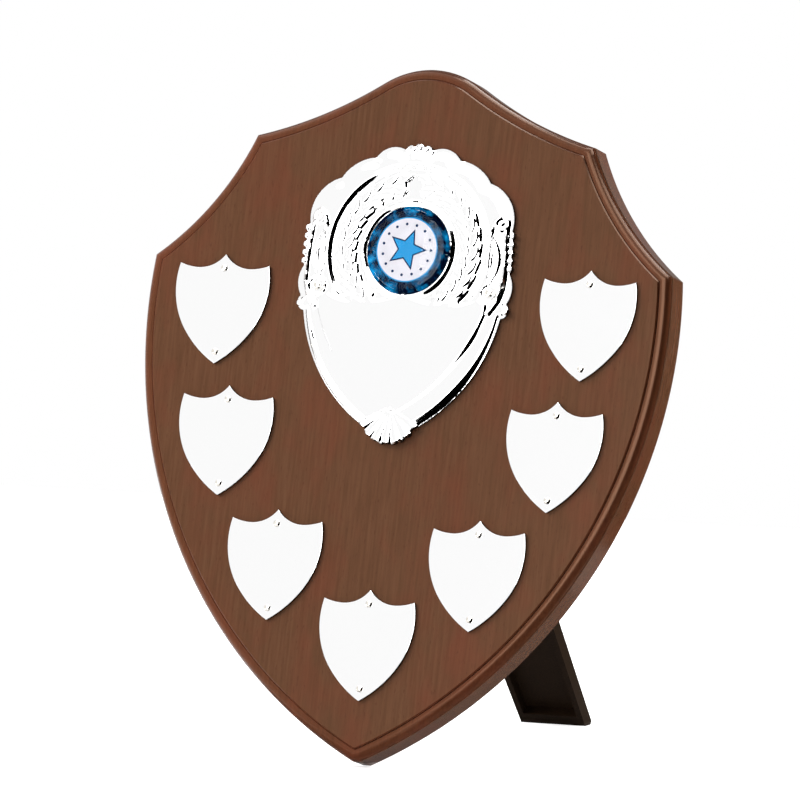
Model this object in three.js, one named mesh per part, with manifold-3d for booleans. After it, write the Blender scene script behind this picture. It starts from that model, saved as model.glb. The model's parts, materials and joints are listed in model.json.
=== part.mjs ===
// Perpetual award shield: a moulded board with a pressed centre front, seven record plates,
// a folding strut and a wall hanger. Millimetres, +Z up, the face towards -Y.
// The shield is drawn upright, x across, y back, z up from the tip, with y = 0 on the back of
// the board, and the whole of it is then leaned back until it stands on its tip and its strut.
import * as THREE from 'three';
import { mergeVertices } from 'three/addons/utils/BufferGeometryUtils.js';
import Module from 'manifold-3d';

const wasm = await Module();
wasm.setup();
const { degToRad } = THREE.MathUtils;
const rightAngle = Math.PI / 2;
const fullTurn = Math.PI * 2;

// Driving sizes of the board
const boardWidth = 173;
const boardHeight = 214.5;
const boardThickness = 12;
const boardLean = degToRad(13.1);
const tipWidth = 2.4;
const backEdgeEase = 0.4;
const mouldingRadius = 3.2;
const stepWidth = 0.35;
const stepDepth = 0.5;
const arrisEase = 0.15;

// Driving sizes of the centre front, its insert and its dome
const frontWidth = 71;
const frontHeight = 93.1;
const frontBottomShare = 0.4536;
const flangeThickness = 0.9;
const borderHeight = 2.2;
const dishRadius = 26.4;
const dishFloor = 1.3;
const collarWidth = 1.7;
const collarHeight = 2.5;
const panelHeight = 2.3;
const panelBevel = 1.6;
const rimBeadRadius = 0.85;
const rimBeadInset = 1.5;
const scrollRadius = 0.85;
const voluteRadius = 2.1;
const edgeBeadHeight = 1.9;
const leafLength = 5.4;
const leafWidth = 2;
const leafHeight = 0.8;
const leafRingRadius = 19.9;
const leafSpread = 2.1;
const shellRibHeight = 1.3;
const shellRibWidth = 2;
const sheetThickness = 0.8;
const insertDiameter = 25;
const insertThickness = 1;
const insertClearance = 0.25;
const seatFloor = 0.8;
const domeHeight = 1.6;
const domeEdge = 0.25;
const domeMargin = 0.3;

// Driving sizes of the record plates and of the pins
const plateWidth = 31.1;
const plateHeight = 34.1;
const plateThickness = 0.8;
const platePinFromTop = 4.3;
const platePinFromBottom = 3.7;
const pinHeadDiameter = 2.1;
const pinHeadHeight = 0.7;
const pinShankDiameter = 1;
const pinLength = 8.5;
const pinPointLength = 1.2;
const frontPinHeadDiameter = 2.7;
const frontPinShares = { x: 0.803, z: 0.5123 };
const pinClearance = 0.3;
const seatGap = 0.15;

// Driving sizes of the strut, its bracket and its hinge pin
const hingeShare = 0.6154;
const openAngle = degToRad(55.9);
const strutTopWidth = 28.5;
const strutFootWidth = 22;
const strutThickness = 5;
const strutCornerRadius = 2.2;
const strutWeb = 1.7;
const strutRim = 1.9;
const strutFootRim = 4.2;
const strutSolidTop = 12;
const bracketGap = 0.3;
const bracketPlate = 2;
const bracketAbove = 22;
const bracketBelow = 17;
const bracketCornerRadius = 3;
const foldClearance = 0.5;
const stopClearance = 0.3;
const cheekThickness = 2.2;
const cheekClearance = 0.4;
const cheekReach = 3.5;
const cheekFoot = 6.5;
const hingePinDiameter = 2;
const hingeBoreClearance = 0.3;
const screwInset = 6.85;
const screwAbove = 16;
const screwBelow = 12;
const screwHeadDiameter = 5;
const screwHeadDepth = 1.5;
const screwShankDiameter = 2.5;
const screwLength = 9.5;
const screwPointLength = 2;
const screwClearance = 0.3;

// Driving sizes of the wall hanger
const hangerAboveBracket = 8.5;
const strapWidth = 9;
const strapThickness = 0.8;
const strapLength = 21;
const strapScrewDrop = 16;
const ringWire = 2;
const ringWidth = 15;
const ringDrop = 12;
const ringClearance = 0.3;
const hangerScrewHeadDiameter = 4.6;
const hangerScrewHeadHeight = 1.3;

// One overrun serves every cut
const overrun = 1;
const mergeShare = 1e-5;

// Shares of the outlines. x is a share of the half width and z of the height, bow is the rise of
// the arc that arrives there as a share of its chord, hollow where negative.
const boardOutlineShares = [
  { x: 0.9913, z: 0.715, bow: 0.1565, steps: 20 },
  { x: 0.6486, z: 0.8955, bow: -0.067, steps: 6 },
  { x: 0.1782, z: 0.979, bow: -0.0404, steps: 6 },
  { x: 0, z: 1, bow: 0.0704, steps: 5 },
];
const plateOutlineShares = [
  { x: 0.727, z: 0.31, bow: 0.054, steps: 5 },
  { x: 0.955, z: 0.909, bow: 0.106, steps: 6 },
  { x: 0.534, z: 0.8725, bow: -0.049, steps: 3 },
  { x: 0, z: 1, bow: -0.116, steps: 5 },
];
const frontOutlineShares = [
  { x: 0.031, z: 0.0038, bow: 0.12, steps: 2 },
  { x: 0.093, z: 0.0107, bow: 0.35, steps: 3 },
  { x: 0.152, z: 0.0247, bow: 0.35, steps: 3 },
  { x: 0.208, z: 0.0473, bow: 0.35, steps: 3 },
  { x: 0.918, z: 0.43, bow: 0.112, steps: 12 },
  { x: 0.958, z: 0.479, bow: 0.33, steps: 5 },
  { x: 0.955, z: 0.582, bow: 0.15, steps: 5 },
  { x: 0.9522, z: 0.6096, bow: 0.38, steps: 3 },
  { x: 0.9494, z: 0.6372, bow: 0.38, steps: 3 },
  { x: 0.9466, z: 0.6648, bow: 0.38, steps: 3 },
  { x: 0.9438, z: 0.6924, bow: 0.38, steps: 3 },
  { x: 0.941, z: 0.72, bow: 0.38, steps: 3 },
  { x: 0.696, z: 0.8775, bow: 0.2, steps: 7 },
  { x: 0.392, z: 0.9495, bow: 0.12, steps: 5 },
  { x: 0.121, z: 0.9775, bow: 0.2, steps: 6 },
  { x: 0.042, z: 0.988, bow: 0.35, steps: 3 },
  { x: 0, z: 1, bow: 0.2, steps: 2 },
];
const borderOutlineShares = [
  { x: 0.885, z: 0.484, bow: 0, steps: 1 },
  { x: 0.9, z: 0.58, bow: 0.12, steps: 4 },
  { x: 0.888, z: 0.72, bow: 0.03, steps: 4 },
  { x: 0.66, z: 0.86, bow: 0.2, steps: 7 },
  { x: 0.372, z: 0.93, bow: 0.12, steps: 5 },
  { x: 0, z: 0.962, bow: 0.06, steps: 6 },
];
const borderStartShare = 0.47;
const panelOutlineShares = [
  { x: 0.8, z: 0.44, bow: 0.1, steps: 12 },
  { x: 0.8, z: 0.478, bow: 0, steps: 1 },
  { x: 0.7, z: 0.497, bow: 0, steps: 1 },
  { x: 0.36, z: 0.475, bow: -0.08, steps: 5 },
  { x: 0, z: 0.508, bow: -0.06, steps: 5 },
];
const panelStartShare = 0.082;
const scrollArmShares = [
  { x: 0.858, z: 0.712 },
  { x: 0.893, z: 0.668 },
  { x: 0.897, z: 0.6 },
  { x: 0.912, z: 0.54 },
  { x: 0.876, z: 0.492 },
  { x: 0.83, z: 0.476 },
];
const voluteCentreShare = { x: 0.838, z: 0.735 };
const drops = { x: 0.79, z: 0.632, widthShare: 0.055, heightShare: 0.085 };
const discCentreShare = 0.6445;
const edgeBeadXShare = 0.945;
const edgeBeadZShares = [0.596, 0.6235, 0.651, 0.6785, 0.706, 0.4545];
const crestBeadShares = [{ x: 0, z: 0.981 }, { x: 0.082, z: 0.974 }, { x: -0.082, z: 0.974 }];
const edgeBeadRadiusShare = 0.036;
const shellRootShare = 0.115;

// Places of the middles of the record plates, as shares of the board's half width and height
const platePlaceShares = [
  { name: 'top_left', x: -0.7006, z: 0.6364 },
  { name: 'top_right', x: 0.7006, z: 0.6364 },
  { name: 'middle_left', x: -0.6289, z: 0.4466 },
  { name: 'middle_right', x: 0.6289, z: 0.4466 },
  { name: 'lower_left', x: -0.3861, z: 0.2713 },
  { name: 'lower_right', x: 0.3861, z: 0.2713 },
  { name: 'bottom', x: 0, z: 0.1636 },
];

// Materials
const stainedBoard = new THREE.MeshStandardMaterial({ color: '#6b4632', roughness: 0.35, metalness: 0 });
const platedFront = new THREE.MeshStandardMaterial({ color: '#e9e9ea', roughness: 0.12, metalness: 1 });
const polishedPlate = new THREE.MeshStandardMaterial({ color: '#f2f2f2', roughness: 0.15, metalness: 1 });
const printedInsert = new THREE.MeshStandardMaterial({ color: '#2a78b8', roughness: 0.4, metalness: 0 });
const clearResin = new THREE.MeshStandardMaterial({
  color: '#f4f8fb', roughness: 0.03, metalness: 0, transparent: true, opacity: 0.3,
});
const platedPin = new THREE.MeshStandardMaterial({ color: '#d8d8d4', roughness: 0.2, metalness: 1 });
const mouldedStrut = new THREE.MeshStandardMaterial({ color: '#231a14', roughness: 0.5, metalness: 0 });
const zincSteel = new THREE.MeshStandardMaterial({ color: '#c3c5c8', roughness: 0.35, metalness: 1 });

// Turns a three.js geometry into a solid: shared vertices merged, slivers at the poles dropped,
// and the faces turned outwards.
function solid(geometry) {
  const bare = geometry.clone();
  for (const name of Object.keys(bare.attributes)) {
    if (name !== 'position') bare.deleteAttribute(name);
  }
  bare.computeBoundingSphere();
  const merged = mergeVertices(bare, bare.boundingSphere.radius * mergeShare);
  const positions = merged.attributes.position;
  const corners = [0, 1, 2].map(() => new THREE.Vector3());
  const triangles = [];
  let volume = 0;
  for (let i = 0; i < merged.index.count; i += 3) {
    const [a, b, c] = [0, 1, 2].map((k) => merged.index.getX(i + k));
    if (a === b || b === c || c === a) continue;
    triangles.push([a, b, c]);
    corners.forEach((corner, k) => corner.fromBufferAttribute(positions, [a, b, c][k]));
    volume += corners[0].dot(corners[1].clone().cross(corners[2]));
  }
  if (volume < 0) triangles.forEach((triangle) => triangle.reverse());
  return new wasm.Manifold(new wasm.Mesh({
    numProp: 3,
    vertProperties: new Float32Array(positions.array),
    triVerts: new Uint32Array(triangles.flat()),
  }));
}

function piece(name, body, material) {
  const { vertProperties, triVerts } = body.getMesh();
  const geometry = new THREE.BufferGeometry();
  geometry.setAttribute('position', new THREE.BufferAttribute(vertProperties, 3));
  geometry.setIndex(new THREE.BufferAttribute(triVerts, 1));
  geometry.computeVertexNormals();
  const mesh = new THREE.Mesh(geometry, material);
  mesh.name = name;
  return mesh;
}

const joined = (bodies) => bodies.reduce((sum, body) => sum.add(body));

// Adds an arc of the given rise from the last point to the end point.
function bowTo(points, end, bowShare, steps) {
  const start = points[points.length - 1];
  const chord = end.clone().sub(start);
  const outward = new THREE.Vector2(chord.y, -chord.x).normalize();
  const middle = start.clone().add(end).multiplyScalar(0.5);
  const halfAngle = 2 * Math.atan(2 * bowShare);
  const radius = chord.length() / 2 / Math.sin(halfAngle);
  for (let i = 1; i <= steps; i += 1) {
    if (bowShare === 0 || i === steps) {
      points.push(start.clone().lerp(end, i / steps));
      continue;
    }
    const angle = halfAngle * ((2 * i) / steps - 1);
    points.push(middle.clone()
      .addScaledVector(chord.clone().normalize(), radius * Math.sin(angle))
      .addScaledVector(outward, radius * (Math.cos(angle) - Math.cos(halfAngle))));
  }
}

// A closed outline, counterclockwise from the front, from the right half of its shares.
function symmetricOutline(start, shares, width, height) {
  const right = [start];
  for (const { x, z, bow, steps } of shares) {
    bowTo(right, new THREE.Vector2((x * width) / 2, z * height), bow, steps);
  }
  const left = right.filter((point) => point.x > 0).reverse();
  return [...right, ...left.map((point) => new THREE.Vector2(-point.x, point.y))];
}

// Moves every point of a counterclockwise outline inwards, with mitred corners.
function inset(points, distance) {
  return points.map((point, i) => {
    const before = points[(i + points.length - 1) % points.length];
    const after = points[(i + 1) % points.length];
    const arriving = point.clone().sub(before).normalize();
    const leaving = after.clone().sub(point).normalize();
    const inward = new THREE.Vector2(-arriving.y - leaving.y, arriving.x + leaving.x).normalize();
    const spread = inward.dot(new THREE.Vector2(-leaving.y, leaving.x));
    return point.clone().addScaledVector(inward, distance / spread);
  });
}

// Skins layers of equal outlines, given from the back to the front, into one solid.
function loft(layers) {
  const count = layers[0].points.length;
  const positions = layers.flatMap(({ points, y }) => points.flatMap((point) => [point.x, y, point.y]));
  const faces = [];
  for (let layer = 0; layer + 1 < layers.length; layer += 1) {
    for (let i = 0; i < count; i += 1) {
      const here = layer * count + i;
      const next = layer * count + ((i + 1) % count);
      faces.push(here, next, here + count, next, next + count, here + count);
    }
  }
  const addCap = (layer, forward) => {
    const { points } = layers[layer];
    for (const [a, b, c] of THREE.ShapeUtils.triangulateShape(points, [])) {
      const turn = points[b].clone().sub(points[a]).cross(points[c].clone().sub(points[a]));
      const corners = turn > 0 === forward ? [a, b, c] : [a, c, b];
      faces.push(...corners.map((corner) => layer * count + corner));
    }
  };
  addCap(0, false);
  addCap(layers.length - 1, true);
  const geometry = new THREE.BufferGeometry();
  geometry.setAttribute('position', new THREE.Float32BufferAttribute(positions, 3));
  geometry.setIndex(faces);
  return solid(geometry);
}

// Revolves a profile of [radius, y] pairs about the y axis.
function revolve(profile, segments) {
  return solid(new THREE.LatheGeometry(profile.map(([r, y]) => new THREE.Vector2(r, y)), segments));
}

const rod = (radius, y0, y1, segments) => revolve([[0, y0], [radius, y0], [radius, y1], [0, y1]], segments);

// The same rod laid along x, centred on x = 0.
function crossRod(radius, length, segments) {
  const cylinder = new THREE.CylinderGeometry(radius, radius, length, segments);
  return solid(cylinder.rotateZ(rightAngle));
}

function block(width, depth, height) {
  return solid(new THREE.BoxGeometry(width, depth, height));
}

const boardOutline = symmetricOutline(
  new THREE.Vector2(tipWidth / 2, 0), boardOutlineShares, boardWidth, boardHeight,
);

const frontBottomHeight = frontBottomShare * boardHeight;
const hingeHeight = hingeShare * boardHeight;
const bracketTop = hingeHeight + bracketAbove;
const hangerHeight = bracketTop + hangerAboveBracket + strapWidth / 2 + strapLength;
const bracketWidth = strutTopWidth + 2 * (cheekClearance + cheekThickness);
const screwAcross = bracketWidth - 2 * screwInset;

// Places of the seven record plates
const plates = platePlaceShares.map(({ name, x, z }) => ({
  name, x: (x * boardWidth) / 2, z: z * boardHeight,
}));
const platePinRise = plateHeight / 2 - platePinFromTop;
const platePinFall = plateHeight / 2 - platePinFromBottom;
const frontPinPlaces = [-1, 1].map((side) => ({
  x: (side * frontPinShares.x * frontWidth) / 2,
  z: frontBottomHeight + frontPinShares.z * frontHeight,
}));
const pinPlaces = [
  ...frontPinPlaces,
  ...plates.flatMap(({ x, z }) => [{ x, z: z + platePinRise }, { x, z: z - platePinFall }]),
];
const bracketScrewPlaces = [-1, 1].flatMap((side) => [
  { x: (side * screwAcross) / 2, z: hingeHeight + screwAbove },
  { x: (side * screwAcross) / 2, z: hingeHeight - screwBelow },
]);

// The board: the outline lofted through its back edge, side, quarter round, step and arris
function shieldBoard() {
  const roundSteps = 5;
  const round = Array.from({ length: roundSteps + 1 }, (_, i) => {
    const angle = (rightAngle * i) / roundSteps;
    return {
      inwards: mouldingRadius * (1 - Math.cos(angle)),
      depth: stepDepth + mouldingRadius * (1 - Math.sin(angle)),
    };
  });
  const edge = mouldingRadius + stepWidth;
  const profile = [
    { inwards: backEdgeEase, depth: boardThickness },
    { inwards: 0, depth: boardThickness - backEdgeEase },
    ...round,
    { inwards: edge, depth: stepDepth },
    { inwards: edge, depth: arrisEase },
    { inwards: edge + arrisEase, depth: 0 },
  ];
  const body = loft(profile.map(({ inwards, depth }) => ({
    points: inset(boardOutline, inwards), y: depth - boardThickness,
  })));
  const pinHole = rod(pinShankDiameter / 2 + pinClearance, -boardThickness - overrun,
    pinLength + pinClearance - boardThickness, 8);
  const screwHole = rod(screwShankDiameter / 2 + screwClearance, -screwLength - screwClearance, overrun, 8);
  const cuts = [
    ...pinPlaces.map(({ x, z }) => pinHole.translate(x, 0, z)),
    ...bracketScrewPlaces.map(({ x, z }) => screwHole.translate(x, 0, z)),
    screwHole.translate(0, 0, hangerHeight - strapScrewDrop),
  ];
  return body.subtract(joined(cuts));
}

// A record plate about its own middle, its back at y = 0
function recordPlate() {
  const outline = symmetricOutline(new THREE.Vector2(0, 0), plateOutlineShares, plateWidth, plateHeight);
  const body = loft([
    { points: outline, y: 0 },
    { points: outline, y: -plateThickness },
  ]).translate(0, 0, -plateHeight / 2);
  const hole = rod(pinShankDiameter / 2 + pinClearance, -plateThickness - overrun, overrun, 8);
  return body.subtract(hole.translate(0, 0, platePinRise)).subtract(hole.translate(0, 0, -platePinFall));
}

// A domed pin, the underside of its head at y = 0 and its point towards +y
function domedPin(headDiameter) {
  const domeSteps = 3;
  const dome = Array.from({ length: domeSteps + 1 }, (_, i) => {
    const angle = (rightAngle * i) / domeSteps;
    return [(headDiameter / 2) * Math.cos(angle), -pinHeadHeight * Math.sin(angle)];
  });
  dome[domeSteps][0] = 0;
  const shank = pinShankDiameter / 2;
  return revolve([[0, pinLength], [shank, pinLength - pinPointLength], [shank, 0], ...dome], 8);
}

// The centre front, its bottom point at z = 0 and its back at y = 0
function centreFront() {
  const discZ = discCentreShare * frontHeight;
  const halfWidth = frontWidth / 2;
  const seatRadius = insertDiameter / 2 + insertClearance;
  const collarRadius = seatRadius + collarWidth;
  const outline = symmetricOutline(new THREE.Vector2(0, 0), frontOutlineShares, frontWidth, frontHeight);
  const borderOutline = symmetricOutline(
    new THREE.Vector2(0, borderStartShare * frontHeight), borderOutlineShares, frontWidth, frontHeight,
  );
  const panelOutline = symmetricOutline(
    new THREE.Vector2(0, panelStartShare * frontHeight), panelOutlineShares, frontWidth, frontHeight,
  );

  const flange = loft([
    { points: outline, y: 0 },
    { points: outline, y: -flangeThickness },
  ]);
  const rise = borderHeight - flangeThickness;
  const borderRoundShares = [[0, 0], [0.25, 0.5], [0.75, 0.85], [1.5, 1]];
  const border = loft([
    { points: borderOutline, y: 0 },
    ...borderRoundShares.map(([inwards, up]) => ({
      points: inset(borderOutline, inwards * rise), y: -flangeThickness - up * rise,
    })),
  ]);
  const dishBevel = borderHeight - dishFloor;
  const dish = revolve([
    [0, -dishFloor], [dishRadius - dishBevel, -dishFloor],
    [dishRadius, -borderHeight], [dishRadius, -borderHeight - overrun], [0, -borderHeight - overrun],
  ], 48).translate(0, 0, discZ);
  const panel = loft([
    { points: panelOutline, y: 0 },
    { points: panelOutline, y: -flangeThickness },
    { points: inset(panelOutline, panelBevel), y: -panelHeight },
  ]);
  const collar = revolve([
    [0, 0], [collarRadius, 0], [collarRadius, -dishFloor], [collarRadius - collarWidth / 3, -collarHeight],
    [seatRadius + collarWidth / 4, -collarHeight], [seatRadius, -collarHeight + collarWidth / 4],
    [seatRadius, -seatFloor], [0, -seatFloor],
  ], 40).translate(0, 0, discZ);
  const seat = rod(seatRadius, -seatFloor, -collarHeight - overrun, 40).translate(0, 0, discZ);

  const trim = [...rimBeads(outline), ...sideScrolls(), ...edgeBeads(), ...shellRibs(), ...laurel(discZ)];
  const hollow = joined([
    loft([
      { points: inset(panelOutline, sheetThickness), y: overrun },
      { points: inset(panelOutline, sheetThickness), y: 0 },
      { points: inset(panelOutline, panelBevel + sheetThickness), y: sheetThickness - panelHeight },
    ]),
    revolve([
      [collarRadius, overrun], [dishRadius - dishBevel, overrun],
      [dishRadius - dishBevel, sheetThickness - dishFloor], [collarRadius, sheetThickness - dishFloor],
      [collarRadius, overrun],
    ], 40).translate(0, 0, discZ),
  ]);
  const pinHole = rod(pinShankDiameter / 2 + pinClearance, -borderHeight - overrun, overrun, 8);
  const pinCuts = frontPinPlaces.map(({ x, z }) => pinHole.translate(x, 0, z - frontBottomHeight));
  const skin = flange.add(border).subtract(dish).add(panel);
  return joined([skin, collar, ...trim]).subtract(seat).subtract(hollow).subtract(joined(pinCuts));

  // Rolled beads that follow both lower sides just inside the edge
  function rimBeads(edge) {
    const start = frontOutlineShares.slice(0, 4).reduce((sum, { steps }) => sum + steps, 0);
    const length = frontOutlineShares[4].steps;
    const line = inset(edge, rimBeadInset).slice(start + 1, start + length)
      .map((point) => new THREE.Vector3(point.x, -flangeThickness, point.y));
    const bead = tube(line, rimBeadRadius, length, 5);
    return [bead, bead.mirror([1, 0, 0])];
  }

  // A scroll on each side: a volute that runs out into an arm, and a drop inside it
  function sideScrolls() {
    const voluteTurns = 1.1;
    const voluteSteps = 9;
    const volute = Array.from({ length: voluteSteps }, (_, i) => {
      const along = i / voluteSteps;
      const angle = rightAngle / 3 + fullTurn * voluteTurns * (1 - along);
      const radius = voluteRadius * (0.25 + 0.75 * along);
      return new THREE.Vector3(
        voluteCentreShare.x * halfWidth + radius * Math.cos(angle), -borderHeight,
        voluteCentreShare.z * frontHeight + radius * Math.sin(angle),
      );
    });
    const arm = scrollArmShares.map(({ x, z }) => new THREE.Vector3(x * halfWidth, -borderHeight, z * frontHeight));
    const scroll = tube([...volute, ...arm], scrollRadius, 26, 5);
    const drop = solid(new THREE.SphereGeometry(1, 8, 6))
      .scale([drops.widthShare * halfWidth, leafHeight, drops.heightShare * frontHeight])
      .translate(drops.x * halfWidth, -borderHeight, drops.z * frontHeight);
    return [scroll, scroll.mirror([1, 0, 0]), drop, drop.mirror([1, 0, 0])];
  }

  // Beads along the sides and a cluster on the crest
  function edgeBeads() {
    const radius = edgeBeadRadiusShare * halfWidth;
    const bead = solid(new THREE.SphereGeometry(1, 8, 4)).scale([radius, edgeBeadHeight, radius]);
    const sides = edgeBeadZShares.flatMap((z) => [-1, 1].map((side) => (
      bead.translate(side * edgeBeadXShare * halfWidth, 0, z * frontHeight))));
    const crest = crestBeadShares.map(({ x, z }) => bead.translate(x * halfWidth, 0, z * frontHeight));
    return [...sides, ...crest].map((body) => body.trimByPlane([0, -1, 0], 0));
  }

  // The shell at the bottom, ribs that fan out from one root
  function shellRibs() {
    const ribs = 7;
    const fan = degToRad(112);
    const root = shellRootShare * frontHeight;
    return Array.from({ length: ribs }, (_, i) => {
      const angle = fan * (i / (ribs - 1) - 0.5);
      const length = root * (1 - 0.12 * Math.abs(Math.sin(angle)));
      return solid(new THREE.SphereGeometry(1, 6, 5))
        .scale([shellRibWidth / 2, shellRibHeight, length / 2])
        .translate(0, 0, -length / 2)
        .rotate([0, THREE.MathUtils.radToDeg(-angle), 0])
        .translate(0, -flangeThickness, root)
        .trimByPlane([0, -1, 0], 0);
    });
  }

  // Two laurel sprays that climb the dish on either side of the insert
  function laurel(centreZ) {
    const pairs = 10;
    const firstAngle = degToRad(-56);
    const lastAngle = degToRad(76);
    const leaf = solid(new THREE.OctahedronGeometry(1)).scale([leafWidth / 2, leafHeight, leafLength / 2]);
    const tilt = 24;
    const spray = Array.from({ length: pairs }, (_, i) => {
      const angle = firstAngle + (lastAngle - firstAngle) * (i / (pairs - 1));
      const heading = THREE.MathUtils.radToDeg(-angle);
      return [-1, 1].map((side) => {
        const radius = leafRingRadius + side * leafSpread;
        return leaf.rotate([0, heading + side * tilt, 0])
          .translate(radius * Math.cos(angle), -dishFloor, centreZ + radius * Math.sin(angle));
      });
    }).flat();
    return spray.flatMap((body) => [body, body.mirror([1, 0, 0])]);
  }
}

// A round bar swept along a smooth line through the points
function tube(points, radius, steps, sides) {
  const section = new THREE.Shape(Array.from({ length: sides }, (_, i) => {
    const angle = (fullTurn * i) / sides;
    return new THREE.Vector2(radius * Math.cos(angle), radius * Math.sin(angle));
  }));
  const path = new THREE.CatmullRomCurve3(points);
  return solid(new THREE.ExtrudeGeometry(section, { steps, extrudePath: path, bevelEnabled: false }));
}

// The printed insert and its clear dome, both about the middle of the seat, back at y = 0
function centreDisc() {
  return rod(insertDiameter / 2, 0, -insertThickness, 40);
}

function discDome() {
  const domeSteps = 5;
  const radius = insertDiameter / 2 - domeMargin;
  const crown = domeHeight - domeEdge;
  const sphere = (radius * radius + crown * crown) / (2 * crown);
  const spread = Math.asin(radius / sphere);
  const cap = Array.from({ length: domeSteps + 1 }, (_, i) => {
    const angle = spread * (1 - i / domeSteps);
    return [sphere * Math.sin(angle), -domeEdge - sphere * Math.cos(angle) + sphere - crown];
  });
  return revolve([[0, 0], [radius, 0], ...cap], 40);
}

// Where the strut leans: its axis stands off the back of the board, and its foot is on the table
const axisStandOff = bracketGap + bracketPlate + foldClearance + strutThickness / 2;
const axisHeight = hingeHeight * Math.cos(boardLean) - axisStandOff * Math.sin(boardLean);
const strutLean = openAngle - boardLean;
const strutLength = axisHeight / Math.cos(strutLean);

// The strut about its axis, folded: it hangs along -z with its open underside towards the board
function strut() {
  const halfThick = strutThickness / 2;
  const top = strutThickness * 2;
  const widthAt = (z) => strutTopWidth + ((strutFootWidth - strutTopWidth) * -z) / strutLength;
  const corner = (side, z, turn) => {
    const angle = side > 0 ? -rightAngle + turn : -rightAngle - turn;
    return [
      side * (widthAt(z) / 2 - strutCornerRadius) + strutCornerRadius * Math.cos(angle),
      z + strutCornerRadius + strutCornerRadius * Math.sin(angle),
    ];
  };
  const end = -strutLength - halfThick;
  const turns = [0, 1, 2, 3].map((i) => (rightAngle * i) / 3);
  const face = new THREE.Shape([
    ...turns.map((turn) => corner(1, end, turn)),
    [widthAt(top) / 2, top],
    [-widthAt(top) / 2, top],
    ...turns.map((turn) => corner(-1, end, turn)).reverse(),
  ].map(([x, z]) => new THREE.Vector2(x, z)));
  const plan = solid(new THREE.ExtrudeGeometry(face, { depth: strutThickness, bevelEnabled: false })
    .rotateX(rightAngle)).translate(0, halfThick, 0);

  // Side view, [y, z]: the mitre that meets the bracket when open, and the foot cut flat to the table
  const stopLine = axisStandOff - bracketGap - bracketPlate - stopClearance;
  const mitre = (y) => (y * Math.cos(openAngle) + stopLine) / Math.sin(openAngle);
  const foot = (y) => -(axisHeight + y * Math.sin(strutLean)) / Math.cos(strutLean);
  const easeSteps = 4;
  const easeStart = Math.acos(halfThick / stopLine);
  const ease = Array.from({ length: easeSteps + 1 }, (_, i) => {
    const angle = easeStart + (openAngle - easeStart) * (i / easeSteps);
    return [-stopLine * Math.cos(angle), stopLine * Math.sin(angle)];
  });
  const side = new THREE.Shape([
    [-halfThick, foot(-halfThick)], [halfThick, foot(halfThick)], [halfThick, mitre(halfThick)],
    ...ease.reverse(),
  ].map(([y, z]) => new THREE.Vector2(y, z)));
  const profile = solid(new THREE.ExtrudeGeometry(side, { depth: strutTopWidth * 2, bevelEnabled: false })
    .applyMatrix4(new THREE.Matrix4().set(0, 0, 1, -strutTopWidth, 1, 0, 0, 0, 0, 1, 0, 0, 0, 0, 0, 1)));

  // The moulding is open underneath, with a rim down both sides and across the foot
  const pocketTop = -strutSolidTop;
  const pocketEnd = foot(-halfThick) + strutFootRim;
  const pocketDepth = strutThickness - strutWeb;
  const pocket = solid(new THREE.ExtrudeGeometry(new THREE.Shape([
    [widthAt(pocketEnd) / 2 - strutRim, pocketEnd], [widthAt(pocketTop) / 2 - strutRim, pocketTop],
    [strutRim - widthAt(pocketTop) / 2, pocketTop], [strutRim - widthAt(pocketEnd) / 2, pocketEnd],
  ].map(([x, z]) => new THREE.Vector2(x, z))), { depth: pocketDepth + overrun, bevelEnabled: false })
    .rotateX(rightAngle)).translate(0, pocketDepth - halfThick, 0);
  const bore = crossRod(hingePinDiameter / 2 + hingeBoreClearance, strutTopWidth * 2, 12);
  return plan.intersect(profile).subtract(pocket).subtract(bore);
}

// The bracket about the hinge axis: a rounded base on the board and a cheek on each side
function strutBracket() {
  const cheekInner = strutTopWidth / 2 + cheekClearance;
  const baseY = bracketGap - axisStandOff;
  const base = new THREE.Shape();
  const [left, right, low, high] = [-bracketWidth / 2, bracketWidth / 2, -bracketBelow, bracketAbove];
  const r = bracketCornerRadius;
  base.moveTo(left + r, low).lineTo(right - r, low).absarc(right - r, low + r, r, -rightAngle, 0);
  base.lineTo(right, high - r).absarc(right - r, high - r, r, 0, rightAngle);
  base.lineTo(left + r, high).absarc(left + r, high - r, r, rightAngle, 2 * rightAngle);
  base.lineTo(left, low + r).absarc(left + r, low + r, r, 2 * rightAngle, 3 * rightAngle);
  const plate = solid(new THREE.ExtrudeGeometry(base, { depth: bracketPlate, bevelEnabled: false, curveSegments: 4 })
    .rotateX(rightAngle)).translate(0, baseY + bracketPlate, 0);
  const cheekShape = new THREE.Shape();
  cheekShape.moveTo(baseY, -cheekFoot).lineTo(baseY + bracketPlate, -cheekFoot).lineTo(0, -cheekReach);
  cheekShape.absarc(0, 0, cheekReach, -rightAngle, rightAngle);
  cheekShape.lineTo(baseY + bracketPlate, cheekFoot).lineTo(baseY, cheekFoot);
  const cheek = solid(new THREE.ExtrudeGeometry(cheekShape, {
    depth: cheekThickness, bevelEnabled: false, curveSegments: 8,
  }).applyMatrix4(new THREE.Matrix4().set(0, 0, 1, cheekInner, 1, 0, 0, 0, 0, 1, 0, 0, 0, 0, 0, 1)));
  const bore = crossRod(hingePinDiameter / 2 + hingeBoreClearance, 2 * bracketWidth, 12);
  const countersink = screwHeadDiameter / 2 + screwClearance;
  const shankHole = screwShankDiameter / 2 + screwClearance;
  const top = baseY + bracketPlate;
  const screwHole = revolve([
    [0, baseY - overrun], [shankHole, baseY - overrun], [shankHole, top - screwHeadDepth],
    [countersink, top], [countersink, top + overrun], [0, top + overrun],
  ], 12);
  const holes = bracketScrewPlaces.map(({ x, z }) => screwHole.translate(x, 0, z - hingeHeight));
  return joined([plate, cheek, cheek.mirror([1, 0, 0])]).subtract(bore).subtract(joined(holes));
}

function strutPin() {
  return crossRod(hingePinDiameter / 2, bracketWidth, 12);
}

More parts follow.
